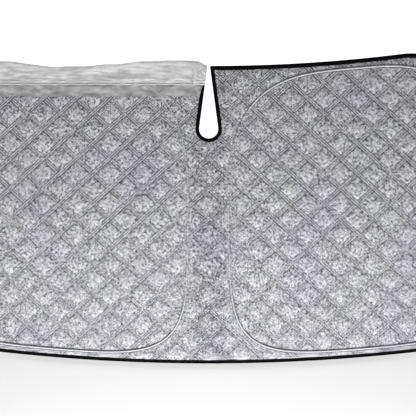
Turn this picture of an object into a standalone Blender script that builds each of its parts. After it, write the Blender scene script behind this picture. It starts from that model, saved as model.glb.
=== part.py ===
"""Windshield sun shade with a quilted foil front and two sprung wire rings.

The shade lies flat on its back: +X to its right, +Y towards the edge with the mirror notch,
+Z out of the quilted face. The plan is drawn on a straight strip, u along it and v across it,
and then bent about a far centre above the notch edge, as the real panel is cut.
"""

import math

import bmesh
import bpy
from mathutils import Matrix, Vector

# Panel plan
PANEL_HEIGHT = 0.760
PANEL_WIDTH = 1.536
MIDDLE_ARC_RADIUS = 4.38
CORNER_RADIUS = 0.225

# Mirror notch: a drop with its round end down and a narrow mouth in the top edge
NOTCH_RADIUS = 0.0242
NOTCH_CENTRE_DEPTH = 0.161
NOTCH_MOUTH_WIDTH = 0.0058

# Sheets, from the floor up
TAPE_THICKNESS = 0.0008
BACK_CLOTH_THICKNESS = 0.0006
EDGE_SHEET_THICKNESS = 0.0010
PRESSED_PADDING = 0.0025
PILLOW_RISE = 0.0025
CLEARANCE = 0.0003

# Quilting
QUILT_CELL_WIDTH = 0.0845
QUILT_CELL_HEIGHT = 0.0768
QUILT_CROSSING_BELOW_TOP = 0.0038
QUILT_BAND_WIDTH = 0.0080
PILLOW_RIM_WIDTH = 0.0105

# Edge tapes
EDGE_TAPE_WIDTH = 0.0085
NOTCH_TAPE_WIDTH = 0.0100
TAPE_FOLD_RADIUS = 0.0007

# Sprung rings and the channels that hold them
WIRE_DIAMETER = 0.0016
RING_CENTRE_OFFSET = 0.397
RING_HALF_WIDTH = 0.345
RING_TOP_MARGIN = 0.0240
RING_BOTTOM_MARGIN = 0.0220
RING_TOP_SQUARENESS = 3.0
RING_INNER_CORNER_SQUARENESS = 5.0
RING_OUTER_CORNER_SQUARENESS = 3.4
CHANNEL_WIDTH = 0.0110
CHANNEL_SINK = 0.0001

# Pale cloth wrap over the left part of the top edge
WRAP_REACH = 0.615
WRAP_LOWER_EDGE_BELOW_TOP = 0.0496
WRAP_CLOTH_THICKNESS = 0.0022
WRAP_EDGE_ROUNDING = 0.0008
SMOOTH_STRIP_WIDTH = 0.0290
SMOOTH_STRIP_SINK = 0.0002
SMOOTH_STRIP_OVERREACH = 0.0040

# How far the wrapped edge sags below the plain arc (negative where it stands above), by x
WRAPPED_EDGE_SAG = (
    (-0.690, 0.0),
    (-0.600, 0.0130),
    (-0.530, 0.0200),
    (-0.410, 0.0222),
    (-0.330, 0.0145),
    (-0.250, 0.0034),
    (-0.165, -0.0084),
    (-0.090, -0.0136),
    (-0.036, -0.0134),
    (0.0, 0.0),
)
SAG_FADE_START = 0.300
SAG_FADE_END = 0.040

# Facets
RING_POINTS = 44
CORNER_STEPS = 7
LONG_EDGE_STEPS = 14
NOTCH_STEPS = 12

# Heights that follow from the sheets
BACK_CLOTH_BOTTOM = TAPE_THICKNESS + CLEARANCE
BACK_CLOTH_TOP = BACK_CLOTH_BOTTOM + BACK_CLOTH_THICKNESS
FRONT_BOTTOM = BACK_CLOTH_TOP + CLEARANCE
EDGE_SHEET_TOP = FRONT_BOTTOM + EDGE_SHEET_THICKNESS
TAPE_TOP = EDGE_SHEET_TOP + CLEARANCE + TAPE_THICKNESS
BAND_TOP = FRONT_BOTTOM + PRESSED_PADDING
PILLOW_TOP = BAND_TOP + PILLOW_RISE
WIRE_HEIGHT = FRONT_BOTTOM + WIRE_DIAMETER / 2
CHANNEL_ROOF = FRONT_BOTTOM + WIRE_DIAMETER + CLEARANCE
CHANNEL_TOP = BAND_TOP - CHANNEL_SINK
SMOOTH_STRIP_TOP = BAND_TOP - SMOOTH_STRIP_SINK
WRAP_CAVITY_TOP = SMOOTH_STRIP_TOP + CLEARANCE
WRAP_TOP = WRAP_CAVITY_TOP + WRAP_CLOTH_THICKNESS
CUT_MARGIN = 0.005

PART_NAME = "windshield_sun_shade"
CUTTERS_NAME = "cutters"


# Plan curves

def smooth_step(value):
    """Ease from 0 to 1, clamped outside."""
    t = min(max(value, 0.0), 1.0)
    return t * t * (3 - 2 * t)


def edge_sag(x):
    """How far the wrapped top edge sags at x, eased between the stations."""
    if x <= WRAPPED_EDGE_SAG[0][0] or x >= WRAPPED_EDGE_SAG[-1][0]:
        return 0.0
    for (x0, sag0), (x1, sag1) in zip(WRAPPED_EDGE_SAG, WRAPPED_EDGE_SAG[1:]):
        if x <= x1:
            return sag0 + (sag1 - sag0) * smooth_step((x - x0) / (x1 - x0))
    return 0.0


def sheet_point(u, v):
    """Bend a strip point (u along, v up from the middle line) into the panel's plan."""
    radius = MIDDLE_ARC_RADIUS - v
    angle = u / MIDDLE_ARC_RADIUS
    x = radius * math.sin(angle)
    y = MIDDLE_ARC_RADIUS + PANEL_HEIGHT / 2 - radius * math.cos(angle)
    below_top = PANEL_HEIGHT / 2 - v
    fade = smooth_step((SAG_FADE_START - below_top) / (SAG_FADE_START - SAG_FADE_END))
    return Vector((x, y - edge_sag(x) * fade))


def panel_outline(inset):
    """Closed plan of the panel, clockwise from the top centre, drawn inside the real edge."""
    straight_u = PANEL_WIDTH / 2 - CORNER_RADIUS
    straight_v = PANEL_HEIGHT / 2 - CORNER_RADIUS
    strip = []
    for step in range(LONG_EDGE_STEPS):
        strip.append((straight_u * step / LONG_EDGE_STEPS, PANEL_HEIGHT / 2))
    for centre_v, first_angle in ((straight_v, 90.0), (-straight_v, 0.0)):
        for step in range(CORNER_STEPS + 1):
            angle = math.radians(first_angle - 90.0 * step / CORNER_STEPS)
            across, along = math.cos(angle), math.sin(angle)
            strip.append((straight_u + CORNER_RADIUS * across, centre_v + CORNER_RADIUS * along))
    for step in range(1, LONG_EDGE_STEPS):
        strip.append((straight_u * (1 - step / LONG_EDGE_STEPS), -PANEL_HEIGHT / 2))
    mirrored = [(-u, v) for u, v in reversed(strip[1:])]
    edge = [sheet_point(u, v) for u, v in strip + [(0.0, -PANEL_HEIGHT / 2)] + mirrored]
    return moved_in(edge, inset)


def moved_in(points, distance):
    """Move every side of a closed clockwise plan inwards by the same distance."""
    result = []
    for index, point in enumerate(points):
        before = (point - points[index - 1]).normalized()
        after = (points[(index + 1) % len(points)] - point).normalized()
        inward = Vector((before.y, -before.x))
        middle = (inward + Vector((after.y, -after.x))).normalized()
        result.append(point + middle * distance / middle.dot(inward))
    return result


def ring_squareness(inner, upper):
    """How square a quarter of a ring is: the corner beside the centre line at the bottom is the tightest."""
    if upper:
        return RING_TOP_SQUARENESS
    return RING_INNER_CORNER_SQUARENESS if inner else RING_OUTER_CORNER_SQUARENESS


def ring_outline(side):
    """Closed plan of one ring's wire: a rounded square, evenly stepped along its length."""
    half_v = (PANEL_HEIGHT - RING_TOP_MARGIN - RING_BOTTOM_MARGIN) / 2
    centre_v = (RING_BOTTOM_MARGIN - RING_TOP_MARGIN) / 2
    fine_steps = RING_POINTS * 8
    fine = []
    for step in range(fine_steps):
        angle = -side * 2 * math.pi * step / fine_steps
        across, along = math.cos(angle), math.sin(angle)
        power = 2 / ring_squareness(side * across < 0, along > 0)
        u = side * RING_CENTRE_OFFSET + RING_HALF_WIDTH * math.copysign(abs(across) ** power, across)
        v = centre_v + half_v * math.copysign(abs(along) ** power, along)
        fine.append(sheet_point(u, v))
    return evenly_spaced(fine, RING_POINTS)


def evenly_spaced(points, count):
    """Read a closed polyline again at equal steps."""
    closed = points + points[:1]
    lengths = [0.0]
    for first, second in zip(closed, closed[1:]):
        lengths.append(lengths[-1] + (second - first).length)
    result = []
    place = 0
    for index in range(count):
        target = lengths[-1] * index / count
        while lengths[place + 1] < target:
            place += 1
        share = (target - lengths[place]) / (lengths[place + 1] - lengths[place])
        result.append(closed[place].lerp(closed[place + 1], share))
    return result


def notch_flank_angle():
    """Lean of the notch's straight sides, from the mouth's width and the round end."""
    mouth_half = NOTCH_MOUTH_WIDTH / 2
    reach = math.hypot(NOTCH_CENTRE_DEPTH, mouth_half)
    return math.asin(NOTCH_RADIUS / reach) - math.atan(mouth_half / NOTCH_CENTRE_DEPTH)


def notch_half_width(y, offset):
    """Half the notch's width at height y, its sides moved out by offset."""
    rise = y - (PANEL_HEIGHT - NOTCH_CENTRE_DEPTH)
    lean = notch_flank_angle()
    return (NOTCH_RADIUS + offset - rise * math.sin(lean)) / math.cos(lean)


def notch_path(offset, right_y, left_y):
    """Open path down the notch's right side, round its end and up its left side."""
    lean = notch_flank_angle()
    centre = Vector((0.0, PANEL_HEIGHT - NOTCH_CENTRE_DEPTH))
    radius = NOTCH_RADIUS + offset
    points = [Vector((notch_half_width(right_y, offset), right_y))]
    sweep = math.pi + 2 * lean
    for step in range(NOTCH_STEPS + 1):
        angle = lean - sweep * step / NOTCH_STEPS
        points.append(centre + radius * Vector((math.cos(angle), math.sin(angle))))
    points.append(Vector((-notch_half_width(left_y, offset), left_y)))
    return points


# Shape helpers

def collection_named(name):
    """Make a collection in the scene."""
    collection = bpy.data.collections.new(name)
    bpy.context.scene.collection.children.link(collection)
    return collection


def curve_object(name, points, closed):
    """A flat curve through plan points."""
    data = bpy.data.curves.new(name, "CURVE")
    data.dimensions = "2D"
    spline = data.splines.new("POLY")
    spline.points.add(len(points) - 1)
    for knot, point in zip(spline.points, points):
        knot.co = (point[0], point[1], 0.0, 1.0)
    spline.use_cyclic_u = closed
    curve = bpy.data.objects.new(name, data)
    bpy.context.scene.collection.objects.link(curve)
    return curve


def solid_from_curve(curve, height, collection):
    """Turn a filled or swept curve into a welded mesh object that lies at a height."""
    bpy.context.view_layer.update()
    evaluated = curve.evaluated_get(bpy.context.evaluated_depsgraph_get())
    mesh = bpy.data.meshes.new_from_object(evaluated)
    name = curve.name
    bpy.data.objects.remove(curve)
    model = bmesh.new()
    model.from_mesh(mesh)
    bmesh.ops.remove_doubles(model, verts=model.verts, dist=1e-6)
    bmesh.ops.translate(model, verts=model.verts, vec=(0.0, 0.0, height))
    bmesh.ops.recalc_face_normals(model, faces=model.faces)
    model.to_mesh(mesh)
    model.free()
    solid = bpy.data.objects.new(name, mesh)
    collection.objects.link(solid)
    return solid


def plate(name, points, bottom, top, collection):
    """A flat sheet of the given plan between two heights."""
    curve = curve_object(name, points, True)
    curve.data.fill_mode = "BOTH"
    curve.data.extrude = (top - bottom) / 2
    return solid_from_curve(curve, (top + bottom) / 2, collection)


def frame(name, hole_points, bottom, top, collection):
    """A flat frame far wider than the panel, with a hole of the given plan."""
    reach = PANEL_WIDTH
    rim = [Vector((-reach, -reach)), Vector((-reach, reach)), Vector((reach, reach)), Vector((reach, -reach))]
    curve = curve_object(name, rim, True)
    hole = curve.data.splines.new("POLY")
    hole.points.add(len(hole_points) - 1)
    for knot, point in zip(hole.points, hole_points):
        knot.co = (point[0], point[1], 0.0, 1.0)
    hole.use_cyclic_u = True
    curve.data.fill_mode = "BOTH"
    curve.data.extrude = (top - bottom) / 2
    return solid_from_curve(curve, (top + bottom) / 2, collection)


def sweep_profile(name, points, closed, profile, collection):
    """Run a section, given as (distance to the right of the path, height), along a path."""
    path = curve_object(name, points, closed)
    section = curve_object(name + "_section", profile, True)
    path.data.bevel_mode = "OBJECT"
    path.data.bevel_object = section
    path.data.use_fill_caps = not closed
    solid = solid_from_curve(path, 0.0, collection)
    bpy.data.objects.remove(section)
    return solid


def block(name, low, high, collection):
    """A box between two corners."""
    mesh = bpy.data.meshes.new(name)
    model = bmesh.new()
    size = Vector(high) - Vector(low)
    place = Matrix.Translation((Vector(high) + Vector(low)) / 2) @ Matrix.Diagonal((*size, 1.0))
    bmesh.ops.create_cube(model, size=1.0, matrix=place)
    model.to_mesh(mesh)
    model.free()
    box = bpy.data.objects.new(name, mesh)
    collection.objects.link(box)
    return box


def hide_cutter(cutter):
    """Keep a cutter out of the picture."""
    cutter.hide_render = True
    cutter.display_type = "WIRE"


def combine(target, other, operation):
    """Join, cut or trim a solid by another one, which becomes a hidden cutter."""
    modifier = target.modifiers.new(other.name, "BOOLEAN")
    modifier.operation = operation
    modifier.object = other
    modifier.solver = "EXACT"
    hide_cutter(other)


def joined(name, solids, collection):
    """Put solids that don't touch into one mesh."""
    model = bmesh.new()
    for solid in solids:
        model.from_mesh(solid.data)
        bpy.data.objects.remove(solid)
    mesh = bpy.data.meshes.new(name)
    model.to_mesh(mesh)
    model.free()
    result = bpy.data.objects.new(name, mesh)
    collection.objects.link(result)
    return result


def notch_prism(name, offset, bottom, top, collection):
    """The notch as a cutter, its sides moved out by offset and open past the top edge."""
    past_top = PANEL_HEIGHT + 0.05
    rim_width = notch_half_width(PANEL_HEIGHT, offset)
    points = [Vector((rim_width, past_top))]
    points += notch_path(offset, PANEL_HEIGHT, PANEL_HEIGHT)
    points.append(Vector((-rim_width, past_top)))
    return plate(name, points, bottom, top, collection)


def material(name, colour, roughness, metallic):
    """A plain surface of one colour."""
    surface = bpy.data.materials.new(name)
    surface.use_nodes = True
    shader = surface.node_tree.nodes["Principled BSDF"]
    shader.inputs["Base Color"].default_value = (*colour, 1.0)
    shader.inputs["Roughness"].default_value = roughness
    shader.inputs["Metallic"].default_value = metallic
    return surface


# Sub-parts

def quilted_sheet(collection):
    """The padded front as one sheet of diamond pillows, larger than the panel."""
    reach = PANEL_WIDTH / 2 + QUILT_CELL_WIDTH
    cells = 2 * math.ceil((reach / QUILT_CELL_WIDTH) + (PANEL_HEIGHT / QUILT_CELL_HEIGHT) + 1)
    model = bmesh.new()
    bmesh.ops.create_grid(model, x_segments=cells, y_segments=cells, size=cells / 2)
    half_w, half_h = QUILT_CELL_WIDTH / 2, QUILT_CELL_HEIGHT / 2
    lattice = Matrix(((half_w, half_w, 0, 0), (-half_h, half_h, 0, 0), (0, 0, 1, 0), (0, 0, 0, 1)))
    crossing_y = PANEL_HEIGHT - QUILT_CROSSING_BELOW_TOP
    middle_row = round(crossing_y / 2 / QUILT_CELL_HEIGHT)
    centre_y = crossing_y - middle_row * QUILT_CELL_HEIGHT
    place = Matrix.Translation((0.0, centre_y, BAND_TOP)) @ lattice
    bmesh.ops.transform(model, matrix=place, verts=model.verts)

    top_y = sheet_point(PANEL_WIDTH / 2, PANEL_HEIGHT / 2).y + half_h
    far = [
        face for face in model.faces
        if abs(face.calc_center_median().x) > PANEL_WIDTH / 2 + half_w
        or not -half_h < face.calc_center_median().y < top_y
    ]
    bmesh.ops.delete(model, geom=far, context="FACES")
    pillows = model.faces[:]
    bmesh.ops.inset_individual(model, faces=pillows, thickness=QUILT_BAND_WIDTH / 2)
    bmesh.ops.inset_individual(model, faces=pillows, thickness=PILLOW_RIM_WIDTH, depth=PILLOW_RISE)

    rim = [edge for edge in model.edges if edge.is_boundary]
    wall = bmesh.ops.extrude_edge_only(model, edges=rim)["geom"]
    lower = [item for item in wall if isinstance(item, bmesh.types.BMVert)]
    bmesh.ops.translate(model, verts=lower, vec=(0.0, 0.0, FRONT_BOTTOM - BAND_TOP))
    bmesh.ops.holes_fill(model, edges=[edge for edge in model.edges if edge.is_boundary], sides=0)
    bmesh.ops.recalc_face_normals(model, faces=model.faces)
    mesh = bpy.data.meshes.new("front_quilt")
    model.to_mesh(mesh)
    model.free()
    sheet = bpy.data.objects.new("front_quilt", mesh)
    collection.objects.link(sheet)
    return sheet


def ring_sweep(name, profile, collection):
    """Run one section round both rings."""
    loops = [
        sweep_profile(f"{name}_{label}", ring_outline(side), True, profile, collection)
        for side, label in ((-1, "left"), (1, "right"))
    ]
    return joined(name, loops, collection)


def wrapped_region(name, low_y, inset_left, bottom, top, collection):
    """The part of the sheet left of the notch's mouth and above low_y, as a block to trim with."""
    low = (-WRAP_REACH + inset_left, low_y, bottom)
    high = (NOTCH_MOUTH_WIDTH / 4, PANEL_HEIGHT + 0.1, top)
    return block(name, low, high, collection)


def make_front_quilt(collection, cutters):
    """Foil-faced padding: quilted, pressed flat along its edges and over the ring wires."""
    front = quilted_sheet(collection)
    sky = PILLOW_TOP + CUT_MARGIN
    cellar = -CUT_MARGIN
    inset = TAPE_THICKNESS + CLEARANCE
    combine(front, plate("front_plan", panel_outline(inset), cellar, sky, cutters), "INTERSECT")

    under_tape = frame("under_tape", panel_outline(EDGE_TAPE_WIDTH + CLEARANCE), EDGE_SHEET_TOP, sky, cutters)
    combine(front, under_tape, "DIFFERENCE")
    smooth_y = PANEL_HEIGHT - WRAP_LOWER_EDGE_BELOW_TOP - SMOOTH_STRIP_WIDTH
    smooth_area = wrapped_region(
        "smooth_area", smooth_y, -SMOOTH_STRIP_OVERREACH, SMOOTH_STRIP_TOP, sky + CUT_MARGIN, cutters
    )
    combine(front, smooth_area, "DIFFERENCE")

    half = CHANNEL_WIDTH / 2
    channel_section = [(-half, CHANNEL_TOP), (half, CHANNEL_TOP), (half, sky), (-half, sky)]
    combine(front, ring_sweep("ring_channels", channel_section, cutters), "DIFFERENCE")

    tape_edge = NOTCH_TAPE_WIDTH + CLEARANCE
    combine(front, notch_prism("under_notch_tape", tape_edge, EDGE_SHEET_TOP, sky, cutters), "DIFFERENCE")
    combine(front, notch_prism("notch_cut", inset, cellar, sky + CUT_MARGIN, cutters), "DIFFERENCE")

    groove = WIRE_DIAMETER / 2 + CLEARANCE
    groove_section = [(-groove, cellar), (groove, cellar), (groove, CHANNEL_ROOF), (-groove, CHANNEL_ROOF)]
    combine(front, ring_sweep("wire_grooves", groove_section, cutters), "DIFFERENCE")
    return front


def make_back_cloth(collection, cutters):
    """The plain lining behind the padding."""
    inset = TAPE_THICKNESS + CLEARANCE
    cloth = plate("back_cloth", panel_outline(inset), BACK_CLOTH_BOTTOM, BACK_CLOTH_TOP, collection)
    notch = notch_prism("back_notch_cut", inset, -CUT_MARGIN, CUT_MARGIN, cutters)
    combine(cloth, notch, "DIFFERENCE")
    return cloth


def make_ring(name, side, collection):
    """One closed loop of spring wire."""
    curve = curve_object(name, ring_outline(side), True)
    curve.data.bevel_depth = WIRE_DIAMETER / 2
    curve.data.bevel_resolution = 1
    ring = solid_from_curve(curve, WIRE_HEIGHT, collection)
    ring.data.shade_smooth()
    return ring


def tape_section(width):
    """Tape folded over the sheets' edge: two legs and a rounded fold."""
    fold = TAPE_FOLD_RADIUS
    return [
        (width, 0.0), (fold, 0.0), (0.0, fold), (0.0, TAPE_TOP - fold), (fold, TAPE_TOP), (width, TAPE_TOP),
        (width, TAPE_TOP - TAPE_THICKNESS), (TAPE_THICKNESS, TAPE_TOP - TAPE_THICKNESS),
        (TAPE_THICKNESS, TAPE_THICKNESS), (width, TAPE_THICKNESS),
    ]


def top_edge_crossing(outline, x):
    """Where the plan's top edge crosses x: the index of the point before it, and the place."""
    for index, first in enumerate(outline):
        second = outline[(index + 1) % len(outline)]
        if first.y > PANEL_HEIGHT / 2 and first.x <= x < second.x:
            return index, first.lerp(second, (x - first.x) / (second.x - first.x))
    raise ValueError("the top edge doesn't reach that far")


def make_outer_binding(collection, cutters):
    """Edge tape from the notch's right side, clockwise, to the left end of the wrap."""
    lean = notch_flank_angle()
    notch_tape_x = notch_half_width(PANEL_HEIGHT, 0.0) + NOTCH_TAPE_WIDTH / math.cos(lean)
    outline = panel_outline(0.0)
    start_x = notch_tape_x + CLEARANCE + EDGE_TAPE_WIDTH * math.tan(lean)
    before_start, start = top_edge_crossing(outline, start_x)
    before_end, end = top_edge_crossing(outline, -WRAP_REACH + EDGE_TAPE_WIDTH)
    path = [start] + outline[before_start + 1:before_end + 1] + [end]
    binding = sweep_profile("outer_binding", path, False, tape_section(EDGE_TAPE_WIDTH), collection)
    low_y = PANEL_HEIGHT - WRAP_LOWER_EDGE_BELOW_TOP
    wrap_end = wrapped_region("binding_end", low_y, -CLEARANCE, -CUT_MARGIN, TAPE_TOP + CUT_MARGIN, cutters)
    combine(binding, wrap_end, "DIFFERENCE")
    return binding


def make_notch_binding(collection):
    """Edge tape round the mirror notch, up to the top edge and the wrap's lower edge."""
    lean = notch_flank_angle()
    right_y = PANEL_HEIGHT - NOTCH_TAPE_WIDTH * math.sin(lean)
    left_y = PANEL_HEIGHT - WRAP_LOWER_EDGE_BELOW_TOP - NOTCH_TAPE_WIDTH * math.sin(lean) - CLEARANCE
    path = notch_path(0.0, right_y, left_y)
    section = [(-across, height) for across, height in tape_section(NOTCH_TAPE_WIDTH)]
    return sweep_profile("notch_binding", path, False, section, collection)


def make_top_edge_wrap(collection, cutters):
    """Pale cloth folded over the left part of the top edge and round its end at the notch."""
    sky = WRAP_TOP + CUT_MARGIN
    low_y = PANEL_HEIGHT - WRAP_LOWER_EDGE_BELOW_TOP
    wrap = plate("top_edge_wrap", panel_outline(0.0), 0.0, WRAP_TOP, collection)
    combine(wrap, wrapped_region("wrap_bounds", low_y, 0.0, -CUT_MARGIN, sky, cutters), "INTERSECT")
    combine(wrap, notch_prism("wrap_end", 0.0, -CUT_MARGIN, sky, cutters), "DIFFERENCE")
    rounding = wrap.modifiers.new("soft_edges", "BEVEL")
    rounding.width = WRAP_EDGE_ROUNDING
    rounding.segments = 2
    rounding.limit_method = "ANGLE"
    rounding.angle_limit = math.radians(50)
    inside = panel_outline(TAPE_THICKNESS)
    cavity = plate("wrap_cavity", inside, TAPE_THICKNESS, WRAP_CAVITY_TOP, cutters)
    reach = wrapped_region("cavity_reach", low_y - CUT_MARGIN, -CUT_MARGIN, -CUT_MARGIN, sky, cutters)
    combine(cavity, reach, "INTERSECT")
    combine(cavity, notch_prism("cavity_end", TAPE_THICKNESS, -CUT_MARGIN, sky, cutters), "DIFFERENCE")
    combine(wrap, cavity, "DIFFERENCE")
    return wrap


def main():
    """Build the shade, with its origin under the middle of its plan."""
    for old in list(bpy.data.objects):
        bpy.data.objects.remove(old)
    collection = collection_named(PART_NAME)
    cutters = collection_named(CUTTERS_NAME)

    foil = material("quilted_foil", (0.62, 0.62, 0.64), 0.35, 0.85)
    lining = material("lining_cloth", (0.30, 0.30, 0.31), 0.90, 0.0)
    spring_steel = material("spring_steel", (0.45, 0.45, 0.46), 0.35, 1.0)
    black_tape = material("black_tape", (0.012, 0.012, 0.014), 0.80, 0.0)
    pale_cloth = material("pale_cloth", (0.62, 0.62, 0.62), 0.55, 0.0)

    pieces = (
        (make_front_quilt(collection, cutters), foil),
        (make_back_cloth(collection, cutters), lining),
        (make_ring("left_ring", -1, collection), spring_steel),
        (make_ring("right_ring", 1, collection), spring_steel),
        (make_outer_binding(collection, cutters), black_tape),
        (make_notch_binding(collection), black_tape),
        (make_top_edge_wrap(collection, cutters), pale_cloth),
    )
    origin = bpy.data.objects.new("shade_origin", None)
    collection.objects.link(origin)
    outline = panel_outline(0.0)
    heights = [point.y for point in outline]
    origin.location.y = -(max(heights) + min(heights)) / 2
    for piece, surface in pieces:
        piece.data.materials.clear()
        piece.data.materials.append(surface)
        piece.parent = origin
    for cutter in cutters.objects:
        cutter.parent = origin
        hide_cutter(cutter)


main()
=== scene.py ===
"""Finish of a windshield sun shade: quilted foil, ring channels, edge tapes, pale wrap, stitches."""

import logging
import math
from collections.abc import Iterator
from contextlib import contextmanager
from dataclasses import dataclass, field, replace
from enum import Enum
from functools import reduce

import bmesh
import bpy
import numpy as np
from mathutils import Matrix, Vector, noise


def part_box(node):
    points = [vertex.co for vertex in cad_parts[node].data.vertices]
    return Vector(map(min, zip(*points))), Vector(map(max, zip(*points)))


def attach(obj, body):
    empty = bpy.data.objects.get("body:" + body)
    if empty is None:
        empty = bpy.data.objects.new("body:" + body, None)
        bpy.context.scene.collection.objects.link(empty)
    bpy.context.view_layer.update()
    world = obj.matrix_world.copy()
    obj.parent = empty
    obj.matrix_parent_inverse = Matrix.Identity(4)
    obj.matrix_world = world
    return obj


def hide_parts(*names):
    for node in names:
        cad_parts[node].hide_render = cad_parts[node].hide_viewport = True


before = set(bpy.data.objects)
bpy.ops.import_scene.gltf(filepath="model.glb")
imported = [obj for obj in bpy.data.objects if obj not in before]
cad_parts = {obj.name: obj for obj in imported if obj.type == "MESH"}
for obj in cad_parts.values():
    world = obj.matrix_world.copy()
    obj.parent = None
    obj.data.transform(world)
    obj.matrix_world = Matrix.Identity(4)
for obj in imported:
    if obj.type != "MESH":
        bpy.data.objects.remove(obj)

LOG = logging.getLogger("sun_shade")
BODY = "root"
MM = 0.001
Socket = bpy.types.NodeSocket
Value = Socket | float
PHOTO_PIXELS = 416
PHOTO_SCALE = 2.56 * MM


class Side(Enum):
    """The two halves of the shade."""

    LEFT = -1
    RIGHT = 1


def smooth_step(value: np.ndarray) -> np.ndarray:
    """Ease from 0 to 1.

    Args:
        value: Numbers that are clamped to the range from 0 to 1.

    Returns:
        The eased numbers.
    """
    t = np.clip(value, 0.0, 1.0)
    return t * t * (3 - 2 * t)


@dataclass(frozen=True)
class ShadePlan:
    """Plan of the shade in the frame's own coordinates, as the solids were cut."""

    height: float = 0.760
    width: float = 1.536
    arc_radius: float = 4.38
    corner_radius: float = 0.225
    notch_radius: float = 0.0242
    notch_depth: float = 0.161
    notch_mouth: float = 0.0058
    edge_tape: float = 8.5 * MM
    tape_low: float = 1.05
    tape_high: float = 1.38
    tape_middle: float = 0.15
    notch_tape: float = 10.0 * MM
    ring_offset: float = 0.397
    ring_half_width: float = 0.345
    ring_top_margin: float = 0.0240
    ring_bottom_margin: float = 0.0220
    ring_top_squareness: float = 3.0
    ring_inner_corner_squareness: float = 5.0
    ring_outer_corner_squareness: float = 3.4
    wrap_reach: float = 0.615
    wrap_lower_edge: float = 0.0496
    smooth_strip: float = 0.0290
    bottom: float = field(default_factory=lambda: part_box("outer_binding")[0].y)
    sag_x: tuple = (-0.690, -0.600, -0.530, -0.410, -0.330, -0.250, -0.165, -0.090, -0.036, 0.0)
    sag_y: tuple = (0.0, 0.0130, 0.0200, 0.0222, 0.0145, 0.0034, -0.0084, -0.0136, -0.0134, 0.0)
    sag_fade_start: float = 0.300
    sag_fade_end: float = 0.040

    @property
    def top(self) -> float:
        """Height in the plan of the top edge's middle."""
        return self.bottom + self.height

    @property
    def hem_y(self) -> float:
        """Height in the plan of the wrap's hem."""
        return self.top - self.wrap_lower_edge

    @property
    def strip_low(self) -> float:
        """Height in the plan of the lower edge of the smooth strip."""
        return self.hem_y - self.smooth_strip

    @property
    def lean(self) -> float:
        """Lean of the notch's flanks.

        Returns:
            The angle in radians.
        """
        half = self.notch_mouth / 2
        reach = math.hypot(self.notch_depth, half)
        return math.asin(self.notch_radius / reach) - math.atan(half / self.notch_depth)

    def sag(self, x: np.ndarray) -> np.ndarray:
        """How far the wrapped edge sags.

        Args:
            x: Places along the shade.

        Returns:
            Drops in metres, negative where the edge stands above the plain arc.
        """
        stations = np.array(self.sag_x)
        drops = np.array(self.sag_y)
        index = np.clip(np.searchsorted(stations, x, side="right") - 1, 0, len(stations) - 2)
        share = smooth_step((x - stations[index]) / (stations[index + 1] - stations[index]))
        inside = (x > stations[0]) & (x < stations[-1])
        return np.where(inside, drops[index] + (drops[index + 1] - drops[index]) * share, 0.0)

    def _fade(self, v: np.ndarray) -> np.ndarray:
        """Share of the sag that reaches down to v."""
        below = self.height / 2 - v
        return smooth_step((self.sag_fade_start - below) / (self.sag_fade_start - self.sag_fade_end))

    def point(self, u: np.ndarray, v: np.ndarray) -> np.ndarray:
        """Bend strip coordinates into the plan.

        Args:
            u: Places along the strip.
            v: Places across it, from the middle line.

        Returns:
            Plan points, one row each.
        """
        radius = self.arc_radius - v
        angle = u / self.arc_radius
        x = radius * np.sin(angle)
        y = self.bottom + self.arc_radius + self.height / 2 - radius * np.cos(angle)
        return np.stack([x, y - self.sag(x) * self._fade(v)], axis=-1)

    def edge_distance(self, points: np.ndarray) -> np.ndarray:
        """Distance inside the shade's outer edge.

        Args:
            points: Plan points.

        Returns:
            Metres from the edge, positive inside.
        """
        x, y = points[..., 0], points[..., 1]
        centre_y = self.bottom + self.arc_radius + self.height / 2
        v = self.arc_radius - np.hypot(x, centre_y - y)
        v = v + self.sag(x) * self._fade(v)
        u = np.arctan2(x, centre_y - y) * self.arc_radius
        along = np.abs(u) - (self.width / 2 - self.corner_radius)
        across = np.abs(v) - (self.height / 2 - self.corner_radius)
        outside = np.hypot(np.maximum(along, 0.0), np.maximum(across, 0.0))
        return self.corner_radius - outside - np.minimum(np.maximum(along, across), 0.0)

    def notch_distance(self, points: np.ndarray) -> np.ndarray:
        """Distance outside the notch's clear edge.

        Args:
            points: Plan points.

        Returns:
            Metres from the edge, positive on the cloth.
        """
        x, y = np.abs(points[..., 0]), points[..., 1] - (self.top - self.notch_depth)
        flank = x * math.cos(self.lean) + y * math.sin(self.lean)
        reach = y * math.cos(self.lean) - x * math.sin(self.lean)
        return np.where(reach > 0, flank, np.hypot(x, y)) - self.notch_radius

    def notch_half_width(self, y: np.ndarray, offset: float = 0.0) -> np.ndarray:
        """Half the notch's width on its flanks.

        Args:
            y: Heights in the plan.
            offset: How far the sides are moved out.

        Returns:
            Distances from the centre line.
        """
        rise = y - (self.top - self.notch_depth)
        return (self.notch_radius + offset - rise * math.sin(self.lean)) / math.cos(self.lean)

    def tape_width(self, y: np.ndarray) -> np.ndarray:
        """Width of the edge tape's face: sewn wider along the top edge than along the bottom.

        Args:
            y: Heights in the plan.

        Returns:
            Widths in metres.
        """
        share = smooth_step((y + self.tape_middle) / (2 * self.tape_middle))
        return self.edge_tape * (self.tape_low + (self.tape_high - self.tape_low) * share)

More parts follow.
